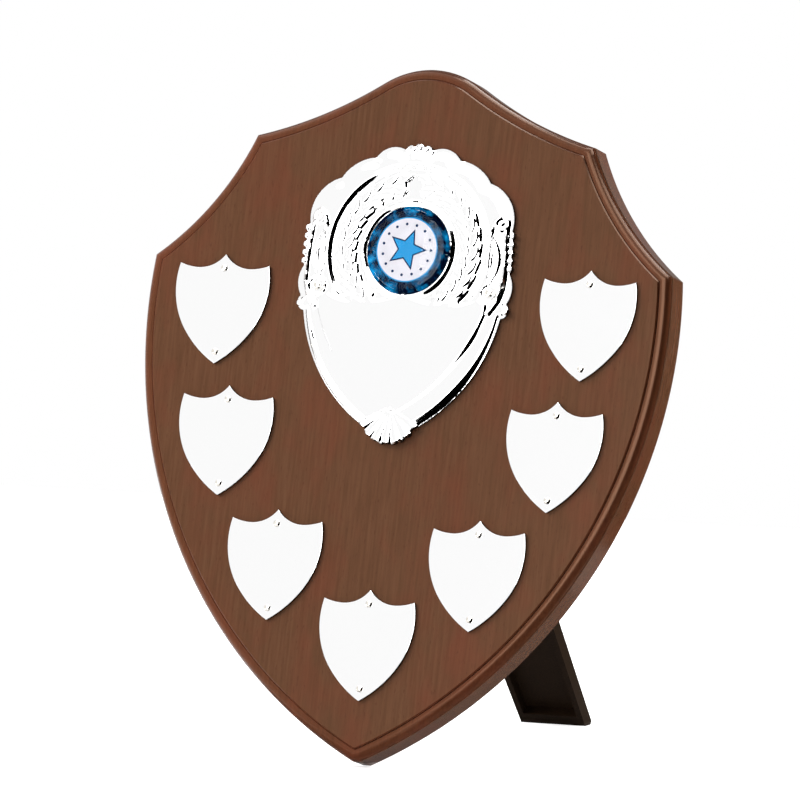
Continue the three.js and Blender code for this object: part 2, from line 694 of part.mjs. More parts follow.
// A countersunk screw, the top of its head at y = 0 and its point towards -y
function bracketScrew() {
  const shank = screwShankDiameter / 2;
  return revolve([
    [0, 0], [screwHeadDiameter / 2, 0], [shank, -screwHeadDepth],
    [shank, screwPointLength - screwLength], [0, -screwLength],
  ], 12);
}

// The hanger: a strap folded round an eye, the D ring in it and a domed screw
const eyeRadius = ringWire / 2 + ringClearance;
const hangerStandOff = bracketGap + strapThickness + eyeRadius;

function hangerStrap() {
  const outer = eyeRadius + strapThickness;
  const eye = crossRod(outer, strapWidth, 20);
  const tail = block(strapWidth, strapThickness, strapLength)
    .translate(0, strapThickness / 2 - outer, -strapLength / 2);
  const roundEnd = rod(strapWidth / 2, -outer, strapThickness - outer, 20).translate(0, 0, -strapLength);
  const hole = rod(screwShankDiameter / 2 + screwClearance, -outer - overrun, overrun - outer, 10);
  const bore = crossRod(eyeRadius, strapWidth + 2 * overrun, 16);
  return joined([eye, tail, roundEnd]).subtract(hole.translate(0, 0, -strapScrewDrop)).subtract(bore);
}

// The D ring about its straight bar, hanging along -z
function hangerRing() {
  const half = (ringWidth - ringWire) / 2;
  const wire = ringWire / 2;
  const straight = ringDrop - half;
  const bendSteps = 8;
  const bend = Array.from({ length: bendSteps + 1 }, (_, i) => {
    const angle = (2 * rightAngle * i) / bendSteps;
    return new THREE.Vector3(half * Math.cos(angle), 0, -straight - half * Math.sin(angle));
  });
  const line = [new THREE.Vector3(half, 0, 0), ...bend, new THREE.Vector3(-half, 0, 0)];
  const bow = tube(line, wire, 22, 8);
  const bar = crossRod(wire, 2 * half, 8);
  const corner = solid(new THREE.SphereGeometry(wire, 8, 6));
  return joined([bow, bar, corner.translate(half, 0, 0), corner.translate(-half, 0, 0)]);
}

// A domed screw, the underside of its head at y = 0 and its point towards -y
function hangerScrew() {
  const shank = screwShankDiameter / 2;
  const head = hangerScrewHeadDiameter / 2;
  const domeSteps = 3;
  const dome = Array.from({ length: domeSteps + 1 }, (_, i) => {
    const angle = rightAngle * (1 - i / domeSteps);
    return [head * Math.cos(angle), hangerScrewHeadHeight * Math.sin(angle)];
  });
  dome[0][0] = 0;
  const reach = screwLength - bracketPlate;
  return revolve([...dome, [shank, 0], [shank, screwPointLength - reach], [0, -reach]], 12);
}

function placed(mesh, x, y, z) {
  mesh.position.set(x, y, z);
  return mesh;
}

// The shield upright, its tip at the origin and its back at y = 0
const shield = new THREE.Group();
const faceY = -boardThickness;
shield.add(piece('shield_board', shieldBoard(), stainedBoard));

const frontY = faceY - seatGap;
const discZ = frontBottomHeight + discCentreShare * frontHeight;
shield.add(placed(piece('centre_front', centreFront(), platedFront), 0, frontY, frontBottomHeight));
const insertY = frontY - seatFloor - seatGap;
shield.add(placed(piece('centre_disc', centreDisc(), printedInsert), 0, insertY, discZ));
const domeY = insertY - insertThickness - seatGap;
shield.add(placed(piece('disc_dome', discDome(), clearResin), 0, domeY, discZ));
frontPinPlaces.forEach(({ x, z }, i) => {
  const pin = piece(`front_pin_${['left', 'right'][i]}`, domedPin(frontPinHeadDiameter), platedPin);
  shield.add(placed(pin, x, frontY - borderHeight - seatGap, z));
});

const plateY = faceY - seatGap;
const pinY = plateY - plateThickness - seatGap;
for (const { name, x, z } of plates) {
  shield.add(placed(piece(`plate_${name}`, recordPlate(), polishedPlate), x, plateY, z));
  shield.add(placed(piece(`pin_${name}_upper`, domedPin(pinHeadDiameter), platedPin), x, pinY, z + platePinRise));
  shield.add(placed(piece(`pin_${name}_under`, domedPin(pinHeadDiameter), platedPin), x, pinY, z - platePinFall));
}

// On the back: the bracket, the strut at its stop, their pin and screws
shield.add(placed(piece('strut_bracket', strutBracket(), mouldedStrut), 0, axisStandOff, hingeHeight));
shield.add(placed(piece('strut_pin', strutPin(), zincSteel), 0, axisStandOff, hingeHeight));
const strutMesh = placed(piece('strut', strut(), mouldedStrut), 0, axisStandOff, hingeHeight);
strutMesh.rotation.x = openAngle;
shield.add(strutMesh);
const bracketTopY = bracketGap + bracketPlate;
bracketScrewPlaces.forEach(({ x, z }, i) => {
  const screw = piece(`bracket_screw_${i + 1}`, bracketScrew(), zincSteel);
  shield.add(placed(screw, x, bracketTopY, z));
});

// The wall hanger, its ring hanging plumb
shield.add(placed(piece('hanger_strap', hangerStrap(), zincSteel), 0, hangerStandOff, hangerHeight));
const ringMesh = placed(piece('hanger_ring', hangerRing(), zincSteel), 0, hangerStandOff, hangerHeight);
ringMesh.rotation.x = boardLean;
shield.add(ringMesh);
const strapTopY = bracketGap + strapThickness;
const hangerScrewMesh = piece('hanger_screw', hangerScrew(), zincSteel);
shield.add(placed(hangerScrewMesh, 0, strapTopY + seatGap, hangerHeight - strapScrewDrop));

// Leaned back, with the origin under the middle of the whole
shield.rotation.x = -boardLean;
const model = new THREE.Group();
model.add(shield);
const bounds = new THREE.Box3().setFromObject(model, true);
shield.position.y = -(bounds.min.y + bounds.max.y) / 2;
shield.position.z = -bounds.min.z;

export default model;
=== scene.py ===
# Looks of a perpetual award shield: stained board, plated centre front and plates, strut and hanger
import json
import math

import bmesh
import bpy
import numpy as np
from mathutils import Matrix, Vector
from mathutils.kdtree import KDTree


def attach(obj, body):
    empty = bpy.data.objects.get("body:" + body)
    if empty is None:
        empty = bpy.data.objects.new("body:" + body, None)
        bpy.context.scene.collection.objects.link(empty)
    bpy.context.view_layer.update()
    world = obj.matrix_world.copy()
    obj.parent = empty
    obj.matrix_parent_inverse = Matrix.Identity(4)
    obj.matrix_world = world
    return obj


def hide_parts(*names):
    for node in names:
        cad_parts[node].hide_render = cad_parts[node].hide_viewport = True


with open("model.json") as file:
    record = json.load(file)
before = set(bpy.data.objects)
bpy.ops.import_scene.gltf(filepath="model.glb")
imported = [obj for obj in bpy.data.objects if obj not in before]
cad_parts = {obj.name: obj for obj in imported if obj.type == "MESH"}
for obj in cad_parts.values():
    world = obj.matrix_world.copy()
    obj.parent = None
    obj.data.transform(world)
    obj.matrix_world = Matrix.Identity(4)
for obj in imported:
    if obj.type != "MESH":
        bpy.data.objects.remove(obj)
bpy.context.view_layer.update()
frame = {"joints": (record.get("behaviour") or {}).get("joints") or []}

print("frame loaded")

mm = 0.001
upright = Matrix.Identity(4)

# The shield is modelled upright in millimetres: x across, y back from the back of the board,
# z up from its tip. shieldPlace leans it back and sets it down in the part's frame.
stance = {
    "lean": 13.1,
    "openAngle": 55.9,
    "hingeHeight": 132.0,
    "axisStandOff": 5.3,
    "hangerStandOff": 2.4,
    "hangerHeight": 188.0,
}
joints = {joint["name"]: joint for joint in frame["joints"]}
leanTurn = Matrix.Rotation(math.radians(-stance["lean"]), 4, "X")
hingePlace = Vector(joints["strut_fold"]["pos_m"])
tipPlace = hingePlace - leanTurn @ (Vector((0, stance["axisStandOff"], stance["hingeHeight"])) * mm)
shieldPlace = Matrix.Translation(tipPlace) @ leanTurn @ Matrix.Scale(mm, 4)


def at(x, y, z):
    return shieldPlace @ Matrix.Translation((x, y, z))


# Helpers that shape meshes
shaping = {
    "mergeDistance": 1e-4,
    "hair": 0.01,  # a distance that only tells places apart
    "quarterBow": 0.207,  # rise over chord of a quarter circle
    "halfBow": 0.5,
    "sharpAngle": 30,
    "flatArea": 20,  # faces larger than this, in square millimetres, are flat panels
}


def onlyVerts(geom):
    return [item for item in geom if isinstance(item, bmesh.types.BMVert)]


def onlyFaces(geom):
    return [item for item in geom if isinstance(item, bmesh.types.BMFace)]


def faceOutwards(bm):
    bmesh.ops.recalc_face_normals(bm, faces=bm.faces[:])


def turnAll(bm, degrees, axis):
    turn = Matrix.Rotation(math.radians(degrees), 3, axis)
    bmesh.ops.rotate(bm, cent=(0, 0, 0), matrix=turn, verts=bm.verts[:])


# An arc on to (x, z); share is its rise over its chord, hollow where negative
def bowTo(bm, vert, end, share=0, steps=1):
    start = vert.co.copy()
    end = Vector((end[0], start.y, end[1]))
    if share == 0:
        last = bmesh.ops.extrude_vert_indiv(bm, verts=[vert])["verts"][0]
        last.co = end
        return last
    chord = end - start
    outward = Vector((chord.z, 0, -chord.x)).normalized()
    halfTurn = 2 * math.atan(2 * share)
    radius = chord.length / 2 / math.sin(halfTurn)
    centre = (start + end) / 2 - outward * radius * math.cos(halfTurn)
    swung = bmesh.ops.spin(bm, geom=[vert], cent=centre, axis=(0, -1, 0), dvec=(0, 0, 0),
                           angle=2 * halfTurn, steps=steps, use_merge=False)
    return onlyVerts(swung["geom_last"])[0]


# Several stretches after each other, each an end and, for an arc, its share and steps
def bowAlong(bm, vert, stretches):
    for stretch in stretches:
        vert = bowTo(bm, vert, *stretch)
    return vert


# Fills the outline with a face that looks towards -y
def fillOutline(bm):
    face = bmesh.ops.contextual_create(bm, geom=bm.edges[:])["faces"][0]
    if face.normal.y > 0:
        face.normal_flip()
    return face


def fillMirrored(bm):
    bmesh.ops.mirror(bm, geom=bm.verts[:] + bm.edges[:], matrix=upright,
                     merge_dist=shaping["mergeDistance"], axis="X")
    return fillOutline(bm)


# The right half of an outline from its shares of half width and height, mirrored to the left and filled
def outlineFace(bm, startWidth, shares, width, height, fineness):
    vert = bm.verts.new((0, 0, 0))
    if startWidth:
        vert = bowTo(bm, vert, (startWidth / 2, 0))
    bowAlong(bm, vert, [((x * width / 2, z * height), share, max(1, round(steps * fineness)))
                        for x, z, share, steps in shares])
    return fillMirrored(bm)


# Thickens a face that looks towards -y, and returns its new front
def thicken(bm, face, depth):
    raised = bmesh.ops.extrude_face_region(bm, geom=[face])["geom"]
    bmesh.ops.translate(bm, vec=(0, -depth, 0), verts=onlyVerts(raised))
    faceOutwards(bm)
    return onlyFaces(raised)[0]


# Moves a face straight back where depth is positive, and leaves a wall behind it
def pushFace(bm, face, depth):
    moved = bmesh.ops.extrude_face_region(bm, geom=[face])["geom"]
    if face.is_valid:
        bmesh.ops.delete(bm, geom=[face], context="FACES_ONLY")
    bmesh.ops.translate(bm, vec=(0, depth, 0), verts=onlyVerts(moved))


def insetFace(bm, face, margin):
    return bmesh.ops.inset_region(bm, faces=[face], thickness=margin, use_boundary=True,
                                  use_even_offset=True)["faces"]


# Turns a profile of (radius, y) pairs about the y axis
def turned(bm, profile, steps):
    verts = [bm.verts.new((radius, y, 0)) for radius, y in profile]
    edges = [bm.edges.new(pair) for pair in zip(verts, verts[1:])]
    bmesh.ops.spin(bm, geom=verts + edges, cent=(0, 0, 0), axis=(0, 1, 0), dvec=(0, 0, 0),
                   angle=math.tau, steps=steps, use_merge=True)
    bmesh.ops.remove_doubles(bm, verts=bm.verts[:], dist=shaping["mergeDistance"])
    faceOutwards(bm)


def bevelEdges(bm, edges, offset, segments, clamp=False):
    return bmesh.ops.bevel(bm, geom=edges, offset=offset, offset_type="OFFSET", affect="EDGES",
                           segments=segments, profile=0.5, material=-1, clamp_overlap=clamp)["faces"]


def bevelSharp(bm, offset, segments):
    edges = [edge for edge in bm.edges if len(edge.link_faces) == 2
             and edge.calc_face_angle(0) > math.radians(shaping["sharpAngle"])]
    bevelEdges(bm, edges, offset, segments, clamp=True)


def addShape(bm, other):
    mesh = bpy.data.meshes.new("shape")
    other.to_mesh(mesh)
    other.free()
    bm.from_mesh(mesh)
    bpy.data.meshes.remove(mesh)


def newObject(name, bm, materials):
    mesh = bpy.data.meshes.new(name)
    bm.to_mesh(mesh)
    bm.free()
    item = bpy.data.objects.new(name, mesh)
    bpy.context.scene.collection.objects.link(item)
    for material in materials:
        mesh.materials.append(material)
    return item


def newPiece(name, bm, place, materials, body, nodes, smoothAngle=32):
    bmesh.ops.transform(bm, matrix=place, verts=bm.verts[:])
    for face in bm.faces:
        face.smooth = face.calc_area() < shaping["flatArea"] * mm ** 2
    for edge in bm.edges:
        if len(edge.link_faces) == 2:
            edge.smooth = edge.calc_face_angle(0) < math.radians(smoothAngle)
    piece = newObject(name, bm, materials)
    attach(piece, body)
    if nodes:
        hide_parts(*nodes)
    return piece


# Helpers that make materials

def srgb(code):
    channels = [int(code[i:i + 2], 16) / 255 for i in (1, 3, 5)]
    linear = [c / 12.92 if c <= 0.04045 else ((c + 0.055) / 1.055) ** 2.4 for c in channels]
    return (*linear, 1)


def grey(level):
    return (level, level, level, 1)


def newMaterial(name):
    material = bpy.data.materials.new(name)
    material.use_nodes = True
    tree = material.node_tree
    return material, tree, tree.nodes["Principled BSDF"]


# Gives a node's inputs their values, or links them where the value is a socket
def setInputs(tree, node, values):
    for key, value in values.items():
        if isinstance(value, bpy.types.NodeSocket):
            tree.links.new(value, node.inputs[key])
        else:
            node.inputs[key].default_value = value


# Adds a node with its inputs, the stops of its colour ramp and its settings
def addNode(tree, kind, inputs=None, stops=(), **settings):
    node = tree.nodes.new(f"ShaderNode{kind}")
    for key, value in settings.items():
        setattr(node, key, value)
    for index, (position, colour) in enumerate(stops):
        elements = node.color_ramp.elements
        if index == len(elements):
            elements.new(position)
        elements[index].position = position
        elements[index].color = colour
    setInputs(tree, node, inputs or {})
    return node


# The range that a noise mostly fills
noiseRange = {"From Min": 0.3, "From Max": 0.7}


# Object coordinates turned upright with the shield, in millimetres
def uprightCoordinates(tree):
    coordinates = addNode(tree, "TexCoord")
    turnedBack = addNode(tree, "Mapping", {
        "Vector": coordinates.outputs["Object"],
        "Rotation": (math.radians(stance["lean"]), 0, 0),
        "Scale": (1 / mm, 1 / mm, 1 / mm),
    })
    return turnedBack.outputs["Vector"]


# Mahogany stained veneer under satin lacquer: fine upright grain, short pores and soft reddish mottling.
# Sizes are widths and lengths in millimetres.
wood = {
    "faceTones": ("#4D311F", "#553624", "#5B3C29"),
    "mouldingTones": ("#4C2817", "#542E1B", "#5C3420"),
    "toneStops": (0.3, 0.5, 0.7),
    "shine": 0.4,
    "grooveShine": 1.0,
    "red": "#643021",
    "redStops": (0.45, 0.7),
    "redMost": 0.5,
    "pore": "#38190F",
    "poreStops": (0.64, 0.76),
    "poreMost": 0.4,
    "poreDepth": 0.03,
    "poreBump": 0.12,
    "grainSize": (0.8, 14),
    "grainDetail": 4,
    "mottleSize": (16, 30),
    "mottleDetail": 3,
    "poreSize": (0.4, 2.2),
    "poreDetail": 1,
    "roughness": 0.2,
    "sheenTint": "#F2C4A4",
}


def stainedWood(name, tones, shine):
    material, tree, shader = newMaterial(name)
    place = uprightCoordinates(tree)
    pattern = {}
    for key in ("grain", "mottle", "pore"):
        width, length = wood[f"{key}Size"]
        stretched = addNode(tree, "Mapping", {
            "Vector": place, "Scale": (1 / width, 1 / width, 1 / length),
        })
        pattern[key] = addNode(tree, "TexNoise", {
            "Vector": stretched.outputs["Vector"], "Scale": 1.0, "Detail": wood[f"{key}Detail"],
            "Roughness": 0.6,
        }).outputs["Fac"]
    colour = addNode(tree, "ValToRGB", {"Fac": pattern["grain"]},
                     zip(wood["toneStops"], map(srgb, tones))).outputs["Color"]
    for key, layer in (("red", "mottle"), ("pore", "pore")):
        amount = addNode(tree, "ValToRGB", {"Fac": pattern[layer]},
                         zip(wood[f"{key}Stops"], (grey(0), grey(wood[f"{key}Most"])))).outputs["Color"]
        colour = addNode(tree, "Mix", {0: amount, 6: colour, 7: srgb(wood[key])},
                         data_type="RGBA").outputs[2]
    bump = addNode(tree, "Bump", {
        "Strength": wood["poreBump"], "Distance": wood["poreDepth"] * mm, "Height": amount,
    }, invert=True)
    setInputs(tree, shader, {
        "Base Color": colour, "Roughness": wood["roughness"], "Normal": bump.outputs["Normal"],
        "Specular IOR Level": shine, "Specular Tint": srgb(wood["sheenTint"]),
    })
    return material


# Bright nickel plated steel: mirror-like, with the faint waviness of pressed sheet. Sizes in millimetres;
# a finish is its tint, its roughness and the height of its waves.
plating = {
    "waveSize": 8.3333,
    "hazeSize": 0.33333,
    "hazeSpread": 0.3,
    "pressing": ("#FAFAFA", 0.07, 0.02),
    "sheet": ("#FAFAFA", 0.08, 0.004),
    "pin": ("#ECE8E0", 0.1, 0.0),
}


def brightPlating(name, tint, roughness, waveHeight):
    material, tree, shader = newMaterial(name)
    place = uprightCoordinates(tree)
    waves = addNode(tree, "TexNoise", {
        "Vector": place, "Scale": 1 / plating["waveSize"], "Detail": 1,
    })
    fine = addNode(tree, "TexNoise", {
        "Vector": place, "Scale": 1 / plating["hazeSize"], "Detail": 2,
    })
    haze = addNode(tree, "MapRange", {
        "Value": fine.outputs["Fac"], **noiseRange,
        "To Min": roughness * (1 - plating["hazeSpread"]), "To Max": roughness * (1 + plating["hazeSpread"]),
    })
    bump = addNode(tree, "Bump", {
        "Strength": 1.0, "Distance": waveHeight * mm, "Height": waves.outputs["Fac"],
    })
    setInputs(tree, shader, {
        "Base Color": srgb(tint), "Metallic": 1.0, "Roughness": haze.outputs["Result"],
        "Normal": bump.outputs["Normal"],
    })
    return material


# Plain materials with two tones mottled by a noise of a size in millimetres
plain = {
    # Edge of sheet cut by a punch: bare steel, dull and torn, in near-black tones that are painted shade
    # along the outlines of the plates and the pressing
    "edge": {"size": 0.25, "detail": 2, "stops": (0.35, 0.65), "tones": ("#1C1815", "#2E2824")},
    # Injection moulded polypropylene with a fine spark finish: nearly black brown, with hardly a shine
    "plastic": {"size": 0.45455, "detail": 3, "stops": (0.35, 0.7), "tones": ("#1D140D", "#271C13"),
                "grain": 0.05},
    # Zinc plated steel: bluish white and a little patchy
    "zinc": {"size": 1.11111, "detail": 3, "stops": (0.35, 0.65), "tones": ("#B4B8BB", "#CBCDCC"),
             "roughness": (0.25, 0.42)},
}


def mottled(tree, kind):
    values = plain[kind]
    noise = addNode(tree, "TexNoise", {
        "Vector": uprightCoordinates(tree), "Scale": 1 / values["size"], "Detail": values["detail"],
    })
    tones = addNode(tree, "ValToRGB", {"Fac": noise.outputs["Fac"]},
                    zip(values["stops"], map(srgb, values["tones"])))
    return noise.outputs["Fac"], tones.outputs["Color"]


# A sheared edge of dull steel, darkened to near black as painted shade round the plates and the pressing
def shearedEdgeWithPaintedShade():
    material, tree, shader = newMaterial("Sheared steel edge with painted shade")
    _, colour = mottled(tree, "edge")
    setInputs(tree, shader, {"Base Color": colour, "Metallic": 1.0, "Roughness": 0.5})
    return material


def mouldedPlastic():
    material, tree, shader = newMaterial("Moulded polypropylene")
    grain, colour = mottled(tree, "plastic")
    bump = addNode(tree, "Bump", {
        "Strength": 0.5, "Distance": plain["plastic"]["grain"] * mm, "Height": grain,
    })
    setInputs(tree, shader, {
        "Base Color": colour, "Roughness": 0.5, "Normal": bump.outputs["Normal"], "Specular IOR Level": 0.06,
    })
    return material


def zincPlating():
    material, tree, shader = newMaterial("Zinc plated steel")
    patches, colour = mottled(tree, "zinc")
    least, most = plain["zinc"]["roughness"]
    rough = addNode(tree, "MapRange", {
        "Value": patches, **noiseRange, "To Min": least, "To Max": most,
    })
    setInputs(tree, shader, {"Base Color": colour, "Metallic": 1.0, "Roughness": rough.outputs["Result"]})
    return material


# Poured polyurethane resin, clear and glossy. Its index is below the usual 1.5, to keep the print deep.
def clearResin():
    material, tree, shader = newMaterial("Clear polyurethane resin")
    setInputs(tree, shader, {
        "Base Color": srgb("#FBFCFD"), "Roughness": 0.02, "IOR": 1.2, "Transmission Weight": 1.0,
    })
    return material


# Printed card under the resin, matt: a deep blue mottled ground with fine pale specks, and flat inks
printing = {
    "deep": "#030B20",
    "middle": "#075583",
    "bright": "#1292CC",
    "cloudStops": (0.46, 0.57, 0.7),
    "cloudSize": 3.3333,
    "speck": "#BFE6F2",
    "speckStops": (0.04, 0.09),
    "speckSize": 1.1111,
    "pale": "#DAD7DD",
    "motif": "#2B93CE",
    "motifDeep": "#0B2F58",
    "inkSize": 4.0,
    "inkShades": (0.85, 1.1),
}


def mottledPrint():
    material, tree, shader = newMaterial("Printed blue card")
    place = uprightCoordinates(tree)
    clouds = addNode(tree, "TexNoise", {
        "Vector": place, "Scale": 1 / printing["cloudSize"], "Detail": 3, "Roughness": 0.5,
    })
    tones = [srgb(printing[key]) for key in ("deep", "middle", "bright")]
    colour = addNode(tree, "ValToRGB", {"Fac": clouds.outputs["Fac"]},
                     zip(printing["cloudStops"], tones))
    specks = addNode(tree, "TexVoronoi", {"Vector": place, "Scale": 1 / printing["speckSize"]})
    amount = addNode(tree, "ValToRGB", {"Fac": specks.outputs["Distance"]},
                     zip(printing["speckStops"], (grey(1), grey(0))))
    speckled = addNode(tree, "Mix", {
        0: amount.outputs["Color"], 6: colour.outputs["Color"], 7: srgb(printing["speck"]),
    }, data_type="RGBA")
    setInputs(tree, shader, {"Base Color": speckled.outputs[2], "Roughness": 0.5, "Specular IOR Level": 0.0})
    return material


def printedInk(name, code):
    material, tree, shader = newMaterial(name)
    least, most = printing["inkShades"]
    shade = addNode(tree, "TexNoise", {
        "Vector": uprightCoordinates(tree), "Scale": 1 / printing["inkSize"], "Detail": 2,
    })
    tone = addNode(tree, "MapRange", {
        "Value": shade.outputs["Fac"], "To Min": least, "To Max": most,
    })
    colour = addNode(tree, "Mix", {0: 1.0, 6: srgb(code), 7: tone.outputs["Result"]},
                     data_type="RGBA", blend_type="MULTIPLY")
    setInputs(tree, shader, {"Base Color": colour.outputs[2], "Roughness": 0.5, "Specular IOR Level": 0.0})
    return material


woodMaterial = stainedWood("Mahogany stained wood", wood["faceTones"], wood["shine"])
mouldingMaterial = stainedWood("Mahogany stained moulding", wood["mouldingTones"], wood["shine"])
grooveMaterial = stainedWood("Mahogany stained groove", wood["mouldingTones"], wood["grooveShine"])
frontMaterial = brightPlating("Bright plated pressing", *plating["pressing"])
plateMaterial = brightPlating("Polished plated sheet", *plating["sheet"])
pinMaterial = brightPlating("Plated escutcheon pin", *plating["pin"])
# Near-black edge material: partly dull sheared steel, partly painted shade along outlines
edgeShadeMaterial = shearedEdgeWithPaintedShade()
plasticMaterial = mouldedPlastic()
zincMaterial = zincPlating()
resinMaterial = clearResin()
printMaterial = mottledPrint()
paleInk = printedInk("Pale printed card", printing["pale"])
motifInk = printedInk("Blue printing ink", printing["motif"])
motifDeepInk = printedInk("Deep blue printing ink", printing["motifDeep"])
print("materials made")


# Board: outline from the tip by side, shoulder and crown, as shares of half width and height
board = {
    "width": 173,
    "height": 214.5,
    "thickness": 12,
    "tipWidth": 2.4,
    "trim": (0.06, 0.12),  # keeps the finer outline inside the solid's box
    "outlineShares": [(0.9913, 0.715, 0.1565, 68), (0.6486, 0.8955, -0.067, 20),
                      (0.1782, 0.979, -0.0404, 18), (0, 1, 0.0704, 16)],
    "footLedge": 0.25,
    "roundRadius": 2.4,
    "roundSteps": 12,
    "ledge": 0.05,
    "flat": 0.66,
    "grooveSide": 0.24,
    "grooveDepth": 0.22,
    "stepDepth": 0.5,
    "arris": 0.38,
    "backEase": 0.4,
}


def frontFace(bm):
    return min(bm.faces, key=lambda face: face.calc_center_median().y)


def makeBoard():
    bm = bmesh.new()
    trimWidth, trimHeight = board["trim"]
    face = outlineFace(bm, board["tipWidth"], board["outlineShares"], board["width"] - trimWidth,
                       board["height"] - trimHeight, 1)
    roundRise = board["roundRadius"] + board["ledge"]
    mouldingStart = board["thickness"] - board["stepDepth"] - roundRise
    thicken(bm, face, mouldingStart)
    back = max(bm.faces, key=lambda face: face.calc_center_median().y)
    bevelEdges(bm, back.edges[:], board["backEase"], 2)
    # A foot ledge, then the roundover
    face = frontFace(bm)
    insetFace(bm, face, board["footLedge"])
    pushFace(bm, face, -roundRise)
    bevelEdges(bm, frontFace(bm).edges[:], board["roundRadius"], board["roundSteps"])
    # A groove between the roundover and the face: its outer side slopes, its inner side is the face's step
    face = frontFace(bm)
    insetFace(bm, face, board["flat"])
    outerSide = insetFace(bm, face, board["grooveSide"])
    bmesh.ops.translate(bm, vec=(0, board["grooveDepth"], 0), verts=face.verts[:])
    pushFace(bm, face, -board["grooveDepth"] - board["stepDepth"])
    for face in bm.faces:
        face.material_index = int(face.calc_center_median().y < -mouldingStart - shaping["hair"])
    frontFace(bm).material_index = 0
    for face in bevelEdges(bm, frontFace(bm).edges[:], board["arris"], 1):
        face.material_index = 1
    for face in outerSide:
        face.material_index = 2
    faceOutwards(bm)
    newPiece("stained_board", bm, shieldPlace, [woodMaterial, mouldingMaterial, grooveMaterial], "shield",
             ["shield_board"], 40)
    print("board made")


makeBoard()


# Record plates: shares of half width and height from the bottom tip
plate = {
    "width": 31.1,
    "height": 34.1,
    "thickness": 0.8,
    "edge": 0.06,
    "gap": 0.15,
    "outlineShares": [(0.727, 0.31, 0.054, 5), (0.955, 0.909, 0.106, 6), (0.534, 0.8725, -0.049, 3),
                      (0, 1, -0.116, 5)],
    "fineness": 4,
    "pinFromTop": 4.3,
    "pinFromBottom": 3.7,
    "placeShares": {
        "top_left": (-0.7006, 0.6364), "top_right": (0.7006, 0.6364),
        "middle_left": (-0.6289, 0.4466), "middle_right": (0.6289, 0.4466),
        "lower_left": (-0.3861, 0.2713), "lower_right": (0.3861, 0.2713),
        "bottom": (0, 0.1636),
    },
}
pin = {
    "headDiameter": 2.1,
    "headHeight": 0.7,
    "headSteps": 7,
    "shankDiameter": 1.0,
    "length": 8.5,
    "pointLength": 1.2,
    "steps": 24,
    "frontHeadDiameter": 2.7,
    "frontPinShares": (0.803, 0.5123),
}
plateFace = -board["thickness"] - plate["gap"]


def makePlate(name, x, z):
    bm = bmesh.new()
    face = outlineFace(bm, 0, plate["outlineShares"], plate["width"], plate["height"], plate["fineness"])
    top = thicken(bm, face, plate["thickness"])
    # The walls take the near-black edge material, painted shade along the plate's outline
    for wall in bm.faces:
        wall.material_index = int(abs(wall.normal.y) < 0.5)
    bevelEdges(bm, top.edges[:], plate["edge"], 2)
    newPiece(f"record_plate_{name}", bm, at(x, plateFace, z - plate["height"] / 2),
             [plateMaterial, edgeShadeMaterial], "shield", [f"plate_{name}"])


# A domed pin whose head sits at y
def makePin(name, node, x, y, z, headDiameter):
    bm = bmesh.new()
    shank = pin["shankDiameter"] / 2
    turns = [math.pi / 2 * i / pin["headSteps"] for i in range(pin["headSteps"])]
    profile = [(0, pin["length"]), (shank, pin["length"] - pin["pointLength"]), (shank, 0)]
    profile += [(headDiameter / 2 * math.cos(turn), -pin["headHeight"] * math.sin(turn)) for turn in turns]
    turned(bm, profile + [(0, -pin["headHeight"])], pin["steps"])
    newPiece(name, bm, at(x, y, z), [pinMaterial], "shield", [node])


for name, (xShare, zShare) in plate["placeShares"].items():
    plateX = xShare * board["width"] / 2
    plateZ = zShare * board["height"]
    makePlate(name, plateX, plateZ)
    headSeat = plateFace - plate["thickness"] - plate["gap"]
    for end, rise in (("upper", plate["height"] / 2 - plate["pinFromTop"]),
                      ("under", plate["pinFromBottom"] - plate["height"] / 2)):
        makePin(f"round_pin_{name}_{end}", f"pin_{name}_{end}", plateX, headSeat, plateZ + rise,
                pin["headDiameter"])
print("plates made")


